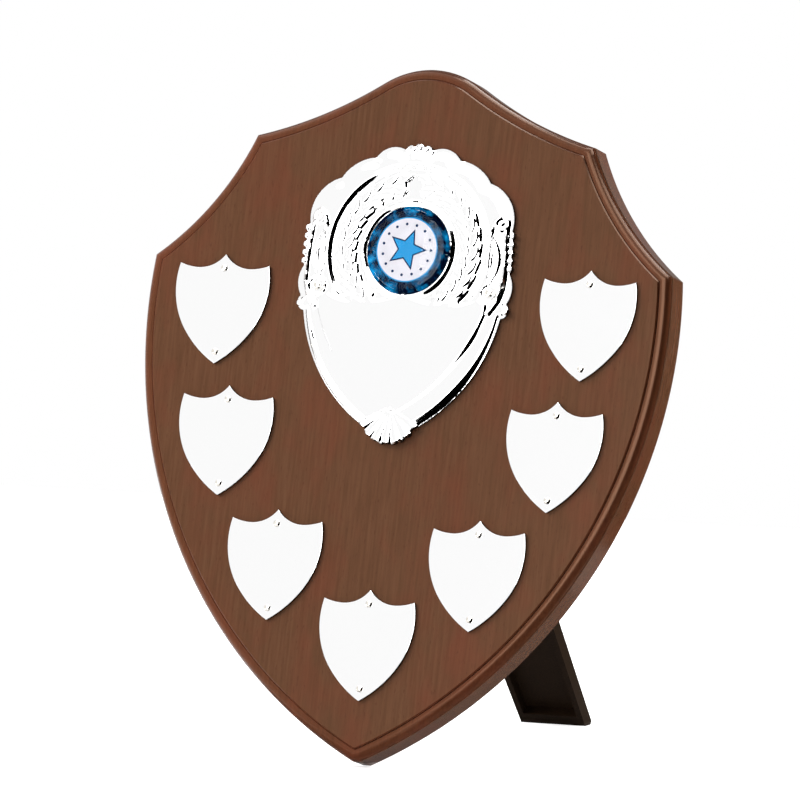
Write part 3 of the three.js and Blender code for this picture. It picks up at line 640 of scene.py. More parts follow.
# Centre front: a pressing. Its relief is worked out over a fine grid, in millimetres above the board.
# Lengths are in millimetres and angles in degrees, from the insert's centre where nothing else is said.
# A line is its (half width, height), and a fade is where a form starts and where it is whole.
front = {
    "width": 71,
    "height": 93.1,
    "bottomShare": 0.4536,
    "discShare": 0.6445,
    "outlineShares": [
        (0.031, 0.0038, 0.12, 2), (0.093, 0.0107, 0.35, 3), (0.152, 0.0247, 0.35, 3),
        (0.208, 0.0473, 0.35, 3), (0.918, 0.43, 0.112, 12), (0.958, 0.479, 0.33, 5),
        (0.955, 0.582, 0.15, 5), (0.9522, 0.6096, 0.38, 3), (0.9494, 0.6372, 0.38, 3),
        (0.9466, 0.6648, 0.38, 3), (0.9438, 0.6924, 0.38, 3), (0.941, 0.72, 0.38, 3),
        (0.696, 0.8775, 0.2, 7), (0.392, 0.9495, 0.12, 5), (0.121, 0.9775, 0.2, 6),
        (0.042, 0.988, 0.35, 3), (0, 1, 0.2, 2)],
    "outlineSpacing": 0.06,
    "panelShares": [
        (0.8, 0.44, 0.1, 12), (0.8, 0.478, 0, 1), (0.7, 0.497, 0, 1), (0.36, 0.475, -0.08, 5),
        (0, 0.508, -0.06, 5)],
    "panelStart": 0.082,
    "panelSpacing": 0.1,
    "arcFineness": 8,
    "grid": 0.26,
    "gridMargin": 1,
    "snapOutside": 0.75,
    "snapInside": 0.25,
    # Edge, and the ridge round the front: a soft swell above, below it a band with a bevel down to the board
    "edgeHeight": 0.35,
    "edgeRoll": 0.8,
    "flange": 0.9,
    "border": 2.15,
    "swellFade": (0.4, 4.6),
    "bandFade": (13, 17),
    "bevelReach": (22, 42),
    "bevelStart": (0.55, 0),
    "bevelWidth": (1.0, 2.1),
    "bevelSlope": 0.72,
    "valleyShare": 0.78,
    "valleyWall": 0.7,
    "valleyDeep": (-28, 4.0, 0.5),
    # Dish with its rim, collar and seat of the insert, engraving panel
    "dishRadius": 26.1,
    "dishWall": 1.1,
    "dishFloor": 1.2,
    "dishFade": (16, 19),
    "rimOffset": 0.4,
    "rimLine": (0.6, 0.25),
    "rimFade": (-40, -28),
    "collarRadius": 14.4,
    "collarHalfWidth": 1.3,
    "collarHeight": 2.35,
    "seatRadius": 13.1,
    "seatFloor": 0.8,
    "seatWall": 0.3,
    "panel": 2.3,
    "panelBevel": 1.4,
}


# Dense points along an outline, and whether points of a grid lie inside it
def outlinePoints(shares, startHeight, spacing):
    bm = bmesh.new()
    bowAlong(bm, bm.verts.new((0, 0, startHeight)), [
        ((x * front["width"] / 2, z * front["height"]), share, steps * front["arcFineness"])
        for x, z, share, steps in shares])
    half = [(v.co.x, v.co.z) for v in bm.verts]
    bm.free()
    corners = np.array(half + [(-x, z) for x, z in half[-2:0:-1]])
    dense = []
    for first, second in zip(corners, np.roll(corners, -1, axis=0)):
        count = max(1, int(np.hypot(*(second - first)) / spacing))
        dense += [first + (second - first) * i / count for i in range(count)]
    return corners, np.array(dense)


def inside(corners, x, z):
    result = np.zeros(x.shape, bool)
    for (x0, z0), (x1, z1) in zip(corners, np.roll(corners, -1, axis=0)):
        if z0 == z1:
            continue
        crosses = (z0 > z) != (z1 > z)
        result ^= crosses & (x < (x1 - x0) * (z - z0) / (z1 - z0) + x0)
    return result


def nearest(dense, x, z):
    tree = KDTree(len(dense))
    for i, (px, pz) in enumerate(dense):
        tree.insert((px, 0, pz), i)
    tree.balance()
    found = [tree.find((px, 0, pz)) for px, pz in zip(x, z)]
    return np.array([item[2] for item in found]), np.array([dense[item[1]] for item in found])


# Slopes from 0 to 1: straight, eased, and eased over a fade
def slope(distance, width):
    return np.clip(distance / width, 0, 1)


def ease(t):
    t = np.clip(t, 0, 1)
    return t * t * (3 - 2 * t)


def fadeIn(value, fade):
    return ease((value - fade[0]) / (fade[1] - fade[0]))


def between(pair, share):
    return pair[0] + (pair[1] - pair[0]) * share


# Cross-sections of raised lines: a half round, and a roof with straight slopes
def bead(distance, line):
    halfWidth, height = line
    return height * np.sqrt(np.clip(1 - (distance / halfWidth) ** 2, 0, 1))


def ridge(distance, line):
    halfWidth, height = line
    return height * slope(halfWidth - np.abs(distance), halfWidth)


def toLine(x, z, points):
    best = np.full(x.shape, np.inf)
    for (x0, z0), (x1, z1) in zip(points, points[1:]):
        dx, dz = x1 - x0, z1 - z0
        along = np.clip(((x - x0) * dx + (z - z0) * dz) / (dx ** 2 + dz ** 2), 0, 1)
        best = np.minimum(best, np.hypot(x - x0 - along * dx, z - z0 - along * dz))
    return best


def edgeRelief(edge, up):
    rolled = np.sqrt(np.clip(1 - (1 - slope(edge, front["edgeRoll"])) ** 2, 0, 1))
    height = front["edgeHeight"] + (front["flange"] - front["edgeHeight"]) * rolled
    swell = fadeIn(edge, front["swellFade"]) * (front["border"] - front["flange"])
    firstReach, lastReach = front["bevelReach"]
    grown = slope(-up - firstReach, lastReach - firstReach)
    start = between(front["bevelStart"], grown)
    width = between(front["bevelWidth"], grown)
    deepPlace, deepReach, deepShare = front["valleyDeep"]
    valley = 1 - front["valleyShare"] + deepShare * np.exp(-((up - deepPlace) / deepReach) ** 2)
    valley = valley * slope(edge - start - width, front["valleyWall"])
    band = slope(edge - start, width) * width * front["bevelSlope"] * (1 - valley)
    lower = fadeIn(-up, front["bandFade"])
    return height + swell * (1 - lower) + band * lower


def dishRelief(height, radius, angle, up):
    dish = slope(front["dishRadius"] - radius, front["dishWall"]) * (1 - fadeIn(-up, front["dishFade"]))
    height = height + (front["dishFloor"] - height) * dish
    rim = bead(radius - front["dishRadius"] - front["rimOffset"], front["rimLine"])
    return height + rim * fadeIn(angle, front["rimFade"])


# Wreath: pairs of leaves on a raised band with saw-toothed edges
wreath = {
    "leafPairs": 12,
    "leafAngles": (-52, 79),
    "leafLength": 5.6,
    "leafWidth": 2.3,
    "leafHeight": 0.5,
    "leafSlope": 0.85,
    "leafTaper": 0.7,
    "leafTurn": 17,
    "stagger": 0.06,
    "radius": 20.7,
    "halfSpread": 1.55,
    "inner": 16.95,
    "outer": 24.35,
    "bandHeight": 0.75,
    "bandWall": 0.85,
    "bandAngles": (-58, 84),
    "bandEnd": 4,
    "jag": 0.7,
    "least": 0.02,
}


def wreathRelief(height, side, up, radius, angle):
    firstLeaf, lastLeaf = wreath["leafAngles"]
    gaps = wreath["leafPairs"] - 1
    jag = wreath["jag"] * (((angle - firstLeaf) * gaps / (lastLeaf - firstLeaf)) % 1)
    start, end = wreath["bandAngles"]
    raised = (wreath["bandHeight"] * slope(wreath["outer"] + jag - radius, wreath["bandWall"])
              * slope(radius - wreath["inner"] + jag, wreath["bandWall"])
              * ease((angle - start) / wreath["bandEnd"]) * ease((end - angle) / wreath["bandEnd"]))
    for i in range(wreath["leafPairs"]):
        place = math.radians(between(wreath["leafAngles"], i / gaps))
        for row in (-1, 1):
            turn = place + math.pi / 2 - row * math.radians(wreath["leafTurn"])
            leafRadius = wreath["radius"] + row * wreath["halfSpread"]
            across = side - leafRadius * math.cos(place + row * wreath["stagger"])
            rise = up - leafRadius * math.sin(place + row * wreath["stagger"])
            u = across * math.cos(turn) + rise * math.sin(turn)
            v = np.abs(rise * math.cos(turn) - across * math.sin(turn))
            share = np.clip(1 - (2 * u / wreath["leafLength"]) ** 2, 0, 1)
            halfWidth = wreath["leafWidth"] / 2 * share ** wreath["leafTaper"]
            leaf = np.clip((halfWidth - v) * wreath["leafSlope"], 0, wreath["leafHeight"])
            raised = np.maximum(raised, np.where(v < halfWidth, leaf + wreath["bandHeight"], 0))
    return np.where(raised > wreath["least"], np.maximum(height, front["dishFloor"] + raised), height)


# The panel for engraving, and over its top edge the collar and seat of the insert
def panelRelief(height, radius, panelInside):
    panelRise = ease(panelInside / front["panelBevel"])
    height = np.where(panelInside > 0, height + (front["panel"] - height) * panelRise, height)
    collar = ridge(radius - front["collarRadius"], (front["collarHalfWidth"], 1.0))
    top = between((front["dishFloor"], front["collarHeight"]), collar)
    height = np.maximum(height, np.where(collar > 0, top, 0))
    return height + (front["seatFloor"] - height) * ease((front["seatRadius"] - radius) / front["seatWall"])


# Side scrolls: a volute, its arm, a hooked leaf and a sunk almond between them, and a ring round each pin
scroll = {
    "volutePlace": (30.3, 9.2),
    "voluteRadius": 1.9,
    "voluteLine": (0.85, 0.7),
    "strokes": [
        ([(31.9, 8.2), (32.0, 5), (32.5, 0), (32.7, -6), (32.3, -11), (31.3, -15), (28.8, -18.6)],
         (0.95, 1.15)),
        ([(29.9, 11.3), (28.2, 9.6), (27.4, 7.4), (27.2, 5.2)], (0.95, 0.8)),
        ([(12.4, 27.0), (14.8, 28.0)], (0.7, 0.55)),
    ],
    "almondPlace": (28.7, -2.6),
    "almondHalf": (1.7, 8.2),
    "almondBow": 0.012,
    "almondRim": 0.95,
    "almondLine": (0.3, 0.4),
    "hollowShare": 0.75,
    "hollowWall": 0.5,
    "hollowDepth": 0.85,
    "pinRing": 2.7,
    "pinRingLine": (0.7, 0.55),
}


def scrollRelief(height, side, up, z):
    acrossVolute, upVolute = scroll["volutePlace"]
    volute = np.hypot(side - acrossVolute, up - upVolute)
    voluteLine = scroll["voluteLine"]
    raised = ridge(volute - scroll["voluteRadius"], voluteLine) + ridge(volute, voluteLine)
    for points, line in scroll["strokes"]:
        raised = np.maximum(raised, ridge(toLine(side, up, points), line))
    acrossAlmond, upAlmond = scroll["almondPlace"]
    halfWidth, halfLength = scroll["almondHalf"]
    fromMiddle = up - upAlmond
    taper = np.clip(1 - (fromMiddle / halfLength) ** 2, 0, 1)
    tiny = 1e-6
    almond = np.abs(side - acrossAlmond + scroll["almondBow"] * fromMiddle ** 2) / (halfWidth * taper + tiny)
    rim = bead(almond - scroll["almondRim"], scroll["almondLine"])
    raised = np.maximum(raised, np.where(taper > 0, rim, 0))
    hollow = slope(scroll["hollowShare"] - almond, scroll["hollowWall"])
    pinX, pinZ = pin["frontPinShares"]
    fromPin = np.hypot(side - pinX * front["width"] / 2, z - pinZ * front["height"])
    raised = raised + ridge(fromPin - scroll["pinRing"], scroll["pinRingLine"])
    return height + raised - np.where(taper > 0, scroll["hollowDepth"] * hollow, 0)


# Beads along the sides and over the crest, as shares of half width and height, and the shell at the bottom
trimming = {
    "sideBeads": [(0.963, share) for share in (0.596, 0.6235, 0.651, 0.6785, 0.706, 0.4545)],
    "sideLine": (1.05, 0.9),
    "crestBeads": [(0, 0.987), (0.06, 0.981), (0.115, 0.973)],
    "crestLine": (1.0, 0.7),
    "rootShare": 0.117,
    "ribSpacing": 18.5,
    "ribRise": 1.1,
    "ribRound": 0.7,
    "ribLength": 11,
    "ribGrowth": 1.5,
    "shellBase": 1.3,
    "shellSink": 0.8,
    "fanFade": (60, 66),
    "reachFade": (10.5, 11.5),
    "rootReach": 1.5,
    "knobLine": (1.3, 1.5),
}


def trimmingRelief(height, x, z):
    for key in ("side", "crest"):
        for xShare, zShare in trimming[f"{key}Beads"]:
            apart = np.hypot(np.abs(x) - xShare * front["width"] / 2, z - zShare * front["height"])
            height = np.maximum(height, front["flange"] + bead(apart, trimming[f"{key}Line"]))
    rootZ = trimming["rootShare"] * front["height"]
    reach = np.hypot(x, z - rootZ)
    fan = np.degrees(np.arctan2(x, rootZ - z))
    ribs = np.abs(np.cos(math.pi * fan / trimming["ribSpacing"])) ** trimming["ribRound"]
    ribs = ribs * slope(reach, trimming["ribLength"]) ** trimming["ribGrowth"]
    shell = trimming["shellBase"] + trimming["ribRise"] * ribs
    within = (1 - fadeIn(np.abs(fan), trimming["fanFade"])) * (1 - fadeIn(reach, trimming["reachFade"]))
    within = within * ease(reach / trimming["rootReach"])
    height = height + np.maximum(shell - height, -trimming["shellSink"]) * within
    knob = bead(reach, trimming["knobLine"])
    return np.maximum(height, np.where(knob > 0, front["flange"] + knob, 0))


def relief(x, z, edge, panelInside):
    side = np.abs(x)
    up = z - front["discShare"] * front["height"]
    radius = np.hypot(x, up)
    angle = np.degrees(np.arctan2(up, side))
    height = dishRelief(edgeRelief(edge, up), radius, angle, up)
    height = wreathRelief(height, side, up, radius, angle)
    height = scrollRelief(panelRelief(height, radius, panelInside), side, up, z)
    return trimmingRelief(height, x, z)


frontBottom = front["bottomShare"] * board["height"]


def makeFront():
    corners, dense = outlinePoints(front["outlineShares"], 0, front["outlineSpacing"])
    panelCorners, panelDense = outlinePoints(front["panelShares"], front["panelStart"] * front["height"],
                                             front["panelSpacing"])
    bm = bmesh.new()
    halfWidth = front["width"] / 2 + front["gridMargin"]
    halfHeight = front["height"] / 2 + front["gridMargin"]
    bmesh.ops.create_grid(bm, x_segments=int(2 * halfWidth / front["grid"]),
                          y_segments=int(2 * halfHeight / front["grid"]), size=1.0)
    bmesh.ops.scale(bm, vec=(halfWidth, halfHeight, 1), verts=bm.verts[:])
    turnAll(bm, 90, "X")
    bmesh.ops.translate(bm, vec=(0, 0, front["height"] / 2), verts=bm.verts[:])
    verts = bm.verts[:]
    x = np.array([v.co.x for v in verts])
    z = np.array([v.co.z for v in verts])
    within = inside(corners, x, z)
    edge, foot = nearest(dense, x, z)
    # Points near the outline move on to it, and the rest outside goes
    near = ~within & (edge < front["grid"] * front["snapOutside"])
    tooNear = within & (edge < front["grid"] * front["snapInside"])
    for i in np.nonzero(near | tooNear)[0]:
        x[i], z[i] = foot[i]
        edge[i] = 0
    within |= near
    panelEdge, _ = nearest(panelDense, x, z)
    panelInside = np.where(inside(panelCorners, x, z), panelEdge, -panelEdge)
    for vert, px, pz, rise in zip(verts, x, z, relief(x, z, edge, panelInside)):
        vert.co = (px, -rise, pz)
    bmesh.ops.delete(bm, geom=[v for v, keep in zip(verts, within) if not keep], context="VERTS")
    rimEdges = [e for e in bm.edges if len(e.link_faces) == 1]
    walls = bmesh.ops.extrude_edge_only(bm, edges=rimEdges)["geom"]
    for vert in onlyVerts(walls):
        vert.co.y = 0
    # The walls take the near-black edge material, painted shade along the pressing's outline
    for wall in onlyFaces(walls):
        wall.material_index = 1
    faceOutwards(bm)
    newPiece("pressed_front", bm, at(0, plateFace, frontBottom), [frontMaterial, edgeShadeMaterial], "shield",
             ["centre_front"], 60)
    pinX, pinZ = pin["frontPinShares"]
    for side, name in ((-1, "left"), (1, "right")):
        makePin(f"round_front_pin_{name}", f"front_pin_{name}", side * pinX * front["width"] / 2,
                plateFace - front["border"] - plate["gap"], frontBottom + pinZ * front["height"],
                pin["frontHeadDiameter"])
    print("centre front made")


makeFront()


# Insert and dome: a plain star in a ring of dots
insert = {
    "diameter": 25,
    "thickness": 1.0,
    "edgeEase": 0.1,
    "steps": 64,
    "paleDiameter": 19.4,
    "ringDiameter": 20.2,
    "starRadius": 5.6,
    "starOutline": 1.1,
    "starInnerShare": 0.45,
    "starTilt": 18,
    "dots": 15,
    "dotRing": 7.9,
    "dotRadius": 0.45,
    "dotSteps": 12,
    "printRise": 0.02,
    "domeHeight": 1.6,
    "domeEdge": 0.25,
    "domeMargin": 0.3,
    "domeSteps": 14,
}
discZ = frontBottom + front["discShare"] * front["height"]
insertY = plateFace - front["seatFloor"] - plate["gap"]


def flatPrint(name, bm, layer, material):
    turnAll(bm, 90, "X")
    place = at(0, insertY - insert["thickness"] - layer * insert["printRise"], discZ)
    newPiece(name, bm, place, [material], "shield", [])


def makeDisc():
    bm = bmesh.new()
    radius = insert["diameter"] / 2
    thickness = insert["thickness"]
    chamfer = insert["edgeEase"]
    turned(bm, [(0, 0), (radius, 0), (radius, chamfer - thickness), (radius - chamfer, -thickness),
                (0, -thickness)], insert["steps"])
    newPiece("printed_disc", bm, at(0, insertY, discZ), [printMaterial], "shield", ["centre_disc"])


def makePrints():
    for name, diameter, layer, ink in (("print_ring", insert["ringDiameter"], 1, motifInk),
                                       ("print_pale_ground", insert["paleDiameter"], 2, paleInk)):
        bm = bmesh.new()
        bmesh.ops.create_circle(bm, cap_ends=True, segments=insert["steps"], radius=diameter / 2)
        flatPrint(name, bm, layer, ink)
    outlineRadius = insert["starRadius"] + insert["starOutline"]
    for name, radius, layer, ink in (("print_star_outline", outlineRadius, 3, motifDeepInk),
                                     ("print_star", insert["starRadius"], 4, motifInk)):
        bm = bmesh.new()
        bmesh.ops.create_circle(bm, cap_ends=True, segments=10, radius=radius)
        turnAll(bm, insert["starTilt"], "Z")
        for i, vert in enumerate(sorted(bm.verts, key=lambda v: math.atan2(v.co.y, v.co.x))):
            if i % 2:
                vert.co *= insert["starInnerShare"]
        flatPrint(name, bm, layer, ink)
    bm = bmesh.new()
    for i in range(insert["dots"]):
        angle = math.tau * i / insert["dots"]
        spot = Vector((math.cos(angle), math.sin(angle), 0)) * insert["dotRing"]
        bmesh.ops.create_circle(bm, cap_ends=True, segments=insert["dotSteps"], radius=insert["dotRadius"],
                                matrix=Matrix.Translation(spot))
    flatPrint("print_dots", bm, 3, motifDeepInk)


# The dome is a cap of a sphere on a short straight edge
def makeDome():
    bm = bmesh.new()
    dome = insert["domeHeight"] - insert["domeEdge"]
    radius = insert["diameter"] / 2 - insert["domeMargin"]
    sphere = (radius ** 2 + dome ** 2) / (2 * dome)
    spread = math.asin(radius / sphere)
    turns = [spread * (1 - i / insert["domeSteps"]) for i in range(insert["domeSteps"])]
    cap = [(sphere * math.sin(turn), sphere * (1 - math.cos(turn)) - insert["domeHeight"]) for turn in turns]
    turned(bm, [(0, 0), (radius, 0)] + cap + [(0, -insert["domeHeight"])], insert["steps"])
    place = at(0, insertY - insert["thickness"] - plate["gap"], discZ)
    piece = newPiece("clear_dome", bm, place, [resinMaterial], "shield", ["disc_dome"], 50)
    piece.visible_shadow = False


makeDisc()
makePrints()
makeDome()
print("insert made")


# Strut, about its axis: folded it hangs along -z, its open underside towards the board
strut = {
    "topWidth": 28.5,
    "footWidth": 22,
    "thickness": 5,
    "cornerRadius": 2.2,
    "cornerSteps": 6,
    "web": 1.7,
    "rim": 1.9,
    "footRim": 4.2,
    "topLength": 8,
    "solidTop": 12,
    "solidReach": 5,
    "footReach": 4,
    "stopLine": 2.7,
    "edge": 0.45,
}
bracket = {
    "gap": 0.3,
    "plate": 2.0,
    "above": 22,
    "below": 17,
    "cornerRadius": 3,
    "cornerSteps": 6,
    "edge": 0.3,
    "cheekThickness": 2.2,
    "cheekClearance": 0.4,
    "cheekReach": 3.5,
    "cheekFoot": 6.5,
    "cheekSink": 0.5,
    "cheekSteps": 16,
    "pinDiameter": 2.0,
    "pinEase": 0.2,
    "pinSteps": 24,
    "screwInset": 6.85,
    "screwAbove": 16,
    "screwBelow": 12,
}
openAngle = math.radians(stance["openAngle"])
strutLean = openAngle - math.radians(stance["lean"])
strutLength = hingePlace.z / mm / math.cos(strutLean)
hingeAt = at(0, stance["axisStandOff"], stance["hingeHeight"])
cheekInside = strut["topWidth"] / 2 + bracket["cheekClearance"]
bracketHalf = cheekInside + bracket["cheekThickness"]


def cutAway(bm, point, normal):
    cut = bmesh.ops.bisect_plane(bm, geom=bm.verts[:] + bm.edges[:] + bm.faces[:], dist=1e-5, plane_co=point,
                                 plane_no=normal, clear_outer=True)
    rim = [item for item in cut["geom_cut"] if isinstance(item, bmesh.types.BMEdge)]
    bmesh.ops.contextual_create(bm, geom=rim)


def makeStrut():
    bm = bmesh.new()
    half = strut["thickness"] / 2
    corner = strut["cornerRadius"]
    end = -strutLength - half
    top = strut["topLength"]
    endHalf, topHalf = [(strut["topWidth"] + (strut["topWidth"] - strut["footWidth"]) * z / strutLength) / 2
                        for z in (end, top)]
    bowAlong(bm, bm.verts.new((0, half, end)), [
        ((endHalf - corner, end),),
        ((endHalf, end + corner), shaping["quarterBow"], strut["cornerSteps"]),
        ((topHalf, top),),
        ((0, top),),
    ])
    thicken(bm, fillMirrored(bm), strut["thickness"])
    # The foot is cut flat to the table, and the top is mitred to stop against the board
    cutAway(bm, (0, 0, -strutLength), (0, -math.sin(strutLean), -math.cos(strutLean)))
    stopWay = Vector((0, -math.cos(openAngle), math.sin(openAngle)))
    cutAway(bm, stopWay * strut["stopLine"], stopWay)
    faceOutwards(bm)
    under = max((f for f in bm.faces if f.normal.y < -0.9), key=lambda f: f.calc_area())
    # The hollow of the underside stops below the solid top and above the foot's rim
    insetFace(bm, under, strut["rim"])
    lowest = min(v.co.z for v in under.verts)
    for v in under.verts:
        if v.co.z > -strut["solidTop"] - strut["solidReach"]:
            v.co.z = -strut["solidTop"]
        elif v.co.z < lowest + strut["footReach"]:
            v.co.z = max(v.co.z, lowest + strut["footRim"] - strut["rim"])
    pushFace(bm, under, strut["thickness"] - strut["web"])
    faceOutwards(bm)
    bevelSharp(bm, strut["edge"], 3)
    place = hingeAt @ Matrix.Rotation(openAngle, 4, "X")
    newPiece("moulded_strut", bm, place, [plasticMaterial], "strut", ["strut"])


def makeBracket():
    baseY = bracket["gap"] - stance["axisStandOff"]
    corner = bracket["cornerRadius"]
    above = bracket["above"]
    below = -bracket["below"]
    bow = (shaping["quarterBow"], bracket["cornerSteps"])
    bm = bmesh.new()
    bowAlong(bm, bm.verts.new((0, baseY + bracket["plate"], below)), [
        ((bracketHalf - corner, below),),
        ((bracketHalf, below + corner), *bow),
        ((bracketHalf, above - corner),),
        ((bracketHalf - corner, above), *bow),
        ((0, above),),
    ])
    thicken(bm, fillMirrored(bm), bracket["plate"])
    bevelSharp(bm, bracket["edge"], 2)
    for left in (-bracketHalf, cheekInside):
        cheek = bmesh.new()
        reach = bracket["cheekReach"]
        foot = bracket["cheekFoot"]
        root = baseY + bracket["cheekSink"]
        start = cheek.verts.new((root, 0, -foot))
        last = bowAlong(cheek, start, [
            ((baseY + bracket["plate"], -foot),),
            ((0, -reach),),
            ((0, reach), shaping["halfBow"], bracket["cheekSteps"]),
            ((baseY + bracket["plate"], foot),),
            ((root, foot),),
        ])
        cheek.edges.new((last, start))
        thicken(cheek, fillOutline(cheek), bracket["cheekThickness"])
        bevelSharp(cheek, bracket["edge"], 2)
        turnAll(cheek, 90, "Z")
        bmesh.ops.translate(cheek, vec=(left, 0, 0), verts=cheek.verts[:])
        addShape(bm, cheek)
    newPiece("moulded_bracket", bm, hingeAt, [plasticMaterial], "shield", ["strut_bracket"])


def makeHingePin():
    bm = bmesh.new()
    radius = bracket["pinDiameter"] / 2
    chamfer = bracket["pinEase"]
    turned(bm, [(0, -bracketHalf), (radius - chamfer, -bracketHalf), (radius, chamfer - bracketHalf),
                (radius, bracketHalf - chamfer), (radius - chamfer, bracketHalf), (0, bracketHalf)],
           bracket["pinSteps"])
    newPiece("hinge_pin", bm, hingeAt @ Matrix.Rotation(math.pi / 2, 4, "Z"), [zincMaterial], "shield",
             ["strut_pin"])


makeStrut()
makeBracket()
makeHingePin()
print("strut and bracket made")


# Screws: each a recessed top joined to a turned head and shank
screw = {
    "headDiameter": 5.0,
    "headDepth": 1.5,
    "headEase": 0.1,
    "shankDiameter": 2.5,
    "length": 9.5,
    "pointLength": 2,
    "steps": 24,
    "domeDiameter": 4.6,
    "domeHeight": 1.3,
    "domeRimRadius": 2.0,
    "domeShoulder": (0.97, 0.62),
    "slotWidth": 0.75,
    "slotReach": 1.45,
    "slotDepth": 0.8,
    "slotTaper": 0.7,
    "joinDistance": 0.01,
}


# A cross recess sunk in a flat or domed top that looks towards +y
def crossRecess(bm, y, rimRadius):
    grid = bmesh.ops.create_grid(bm, x_segments=3, y_segments=3, size=1)["verts"]
    half = screw["slotWidth"] / 2
    for vert in grid:
        vert.co.x = math.copysign(half if abs(vert.co.x) < 0.5 else screw["slotReach"], vert.co.x)
        vert.co.y = math.copysign(half if abs(vert.co.y) < 0.5 else screw["slotReach"], vert.co.y)
    faces = {face for vert in grid for face in vert.link_faces}
    corners = [f for f in faces if min(abs(f.calc_center_median().x), abs(f.calc_center_median().y)) > half]
    bmesh.ops.delete(bm, geom=corners, context="FACES")
    cross = [f for f in faces if f.is_valid]
    rim = [e for e in {e for f in cross for e in f.edges} if len(e.link_faces) == 1]
    circle = bmesh.ops.create_circle(bm, segments=screw["steps"], radius=rimRadius)["verts"]
    circleEdges = list({e for v in circle for e in v.link_edges})
    floor = bmesh.ops.extrude_face_region(bm, geom=cross)["geom"]
    bmesh.ops.delete(bm, geom=[f for f in cross if f.is_valid], context="FACES_ONLY")
    bmesh.ops.translate(bm, vec=(0, 0, -screw["slotDepth"]), verts=onlyVerts(floor))
    bmesh.ops.scale(bm, vec=(screw["slotTaper"], screw["slotTaper"], 1), verts=onlyVerts(floor))
    bmesh.ops.bridge_loops(bm, edges=[e for e in rim if e.is_valid] + circleEdges)
    turnAll(bm, -90, "X")
    bmesh.ops.translate(bm, vec=(0, y, 0), verts=bm.verts[:])


def makeScrew(name, node, place, domed, length):
    shank = screw["shankDiameter"] / 2
    if domed:
        head = screw["domeDiameter"] / 2
        top = screw["domeHeight"]
        widthShare, heightShare = screw["domeShoulder"]
        rimRadius = screw["domeRimRadius"]
        profile = [(rimRadius, top), (head * widthShare, top * heightShare), (head, 0), (shank, 0)]
    else:
        head = screw["headDiameter"] / 2
        top = 0
        rimRadius = head - screw["headEase"]
        profile = [(rimRadius, 0), (head, -screw["headEase"]), (shank, -screw["headDepth"])]
    bm = bmesh.new()
    crossRecess(bm, top, rimRadius)
    body = bmesh.new()
    turned(body, profile + [(shank, screw["pointLength"] - length), (0, -length)], screw["steps"])
    addShape(bm, body)
    bmesh.ops.remove_doubles(bm, verts=bm.verts[:], dist=screw["joinDistance"])
    faceOutwards(bm)
    newPiece(name, bm, place, [zincMaterial], "shield", [node])


screwTop = bracket["gap"] + bracket["plate"]
screwX = bracketHalf - bracket["screwInset"]
screwPlaces = [(side * screwX, stance["hingeHeight"] + rise) for side in (-1, 1)
               for rise in (bracket["screwAbove"], -bracket["screwBelow"])]
for i, (x, z) in enumerate(screwPlaces, 1):
    makeScrew(f"countersunk_screw_{i}", f"bracket_screw_{i}", at(x, screwTop, z), False, screw["length"])


# Hanger: a strap folded round an eye, with a D ring that hangs plumb
hanger = {
    "strapWidth": 9,
    "strapThickness": 0.8,
    "strapLength": 21,
    "eyeSteps": 12,
    "lip": 0.25,
    "lipBow": 0.17,
    "lipSteps": 6,
    "tailRound": 0.98,
    "tailSteps": 10,
    "screwDrop": 16,
    "wire": 2.0,
    "clearance": 0.3,
    "ringWidth": 15,
    "ringDrop": 12,
    "ringBend": 1.0,
    "ringSteps": 20,
}
hangerAt = at(0, stance["hangerStandOff"], stance["hangerHeight"])


# The strap is a bent sheet: its side view swept across, then the tail's end rounded
def makeStrap():
    eye = hanger["wire"] / 2 + hanger["clearance"]
    outer = eye + hanger["strapThickness"]
    half = hanger["strapWidth"] / 2
    tail = -hanger["strapLength"] - half
    hair = shaping["hair"]
    bm = bmesh.new()
    start = bm.verts.new((-outer, 0, tail))
    last = bowAlong(bm, start, [
        ((-eye, tail),),
        ((-eye, -hair),),
        ((eye, 0), -shaping["halfBow"], hanger["eyeSteps"]),
        ((hanger["lip"], -eye), -hanger["lipBow"], hanger["lipSteps"]),
        ((hanger["lip"], -outer),),
        ((outer, 0), hanger["lipBow"], hanger["lipSteps"]),
        ((-outer, 0), shaping["halfBow"], hanger["eyeSteps"]),
    ])
    bm.edges.new((last, start))
    thicken(bm, fillOutline(bm), hanger["strapWidth"])
    turnAll(bm, 90, "Z")
    bmesh.ops.translate(bm, vec=(-half, 0, 0), verts=bm.verts[:])
    tailVerts = {v for v in bm.verts if v.co.z < -hanger["strapLength"] and abs(abs(v.co.x) - half) < hair}
    tailEnds = [e for e in bm.edges if tailVerts.issuperset(e.verts)
                and abs(e.verts[0].co.y - e.verts[1].co.y) > hanger["strapThickness"] / 2]
    bevelEdges(bm, tailEnds, half * hanger["tailRound"], hanger["tailSteps"])
    newPiece("hanger_plate", bm, hangerAt, [zincMaterial], "shield", ["hanger_strap"])


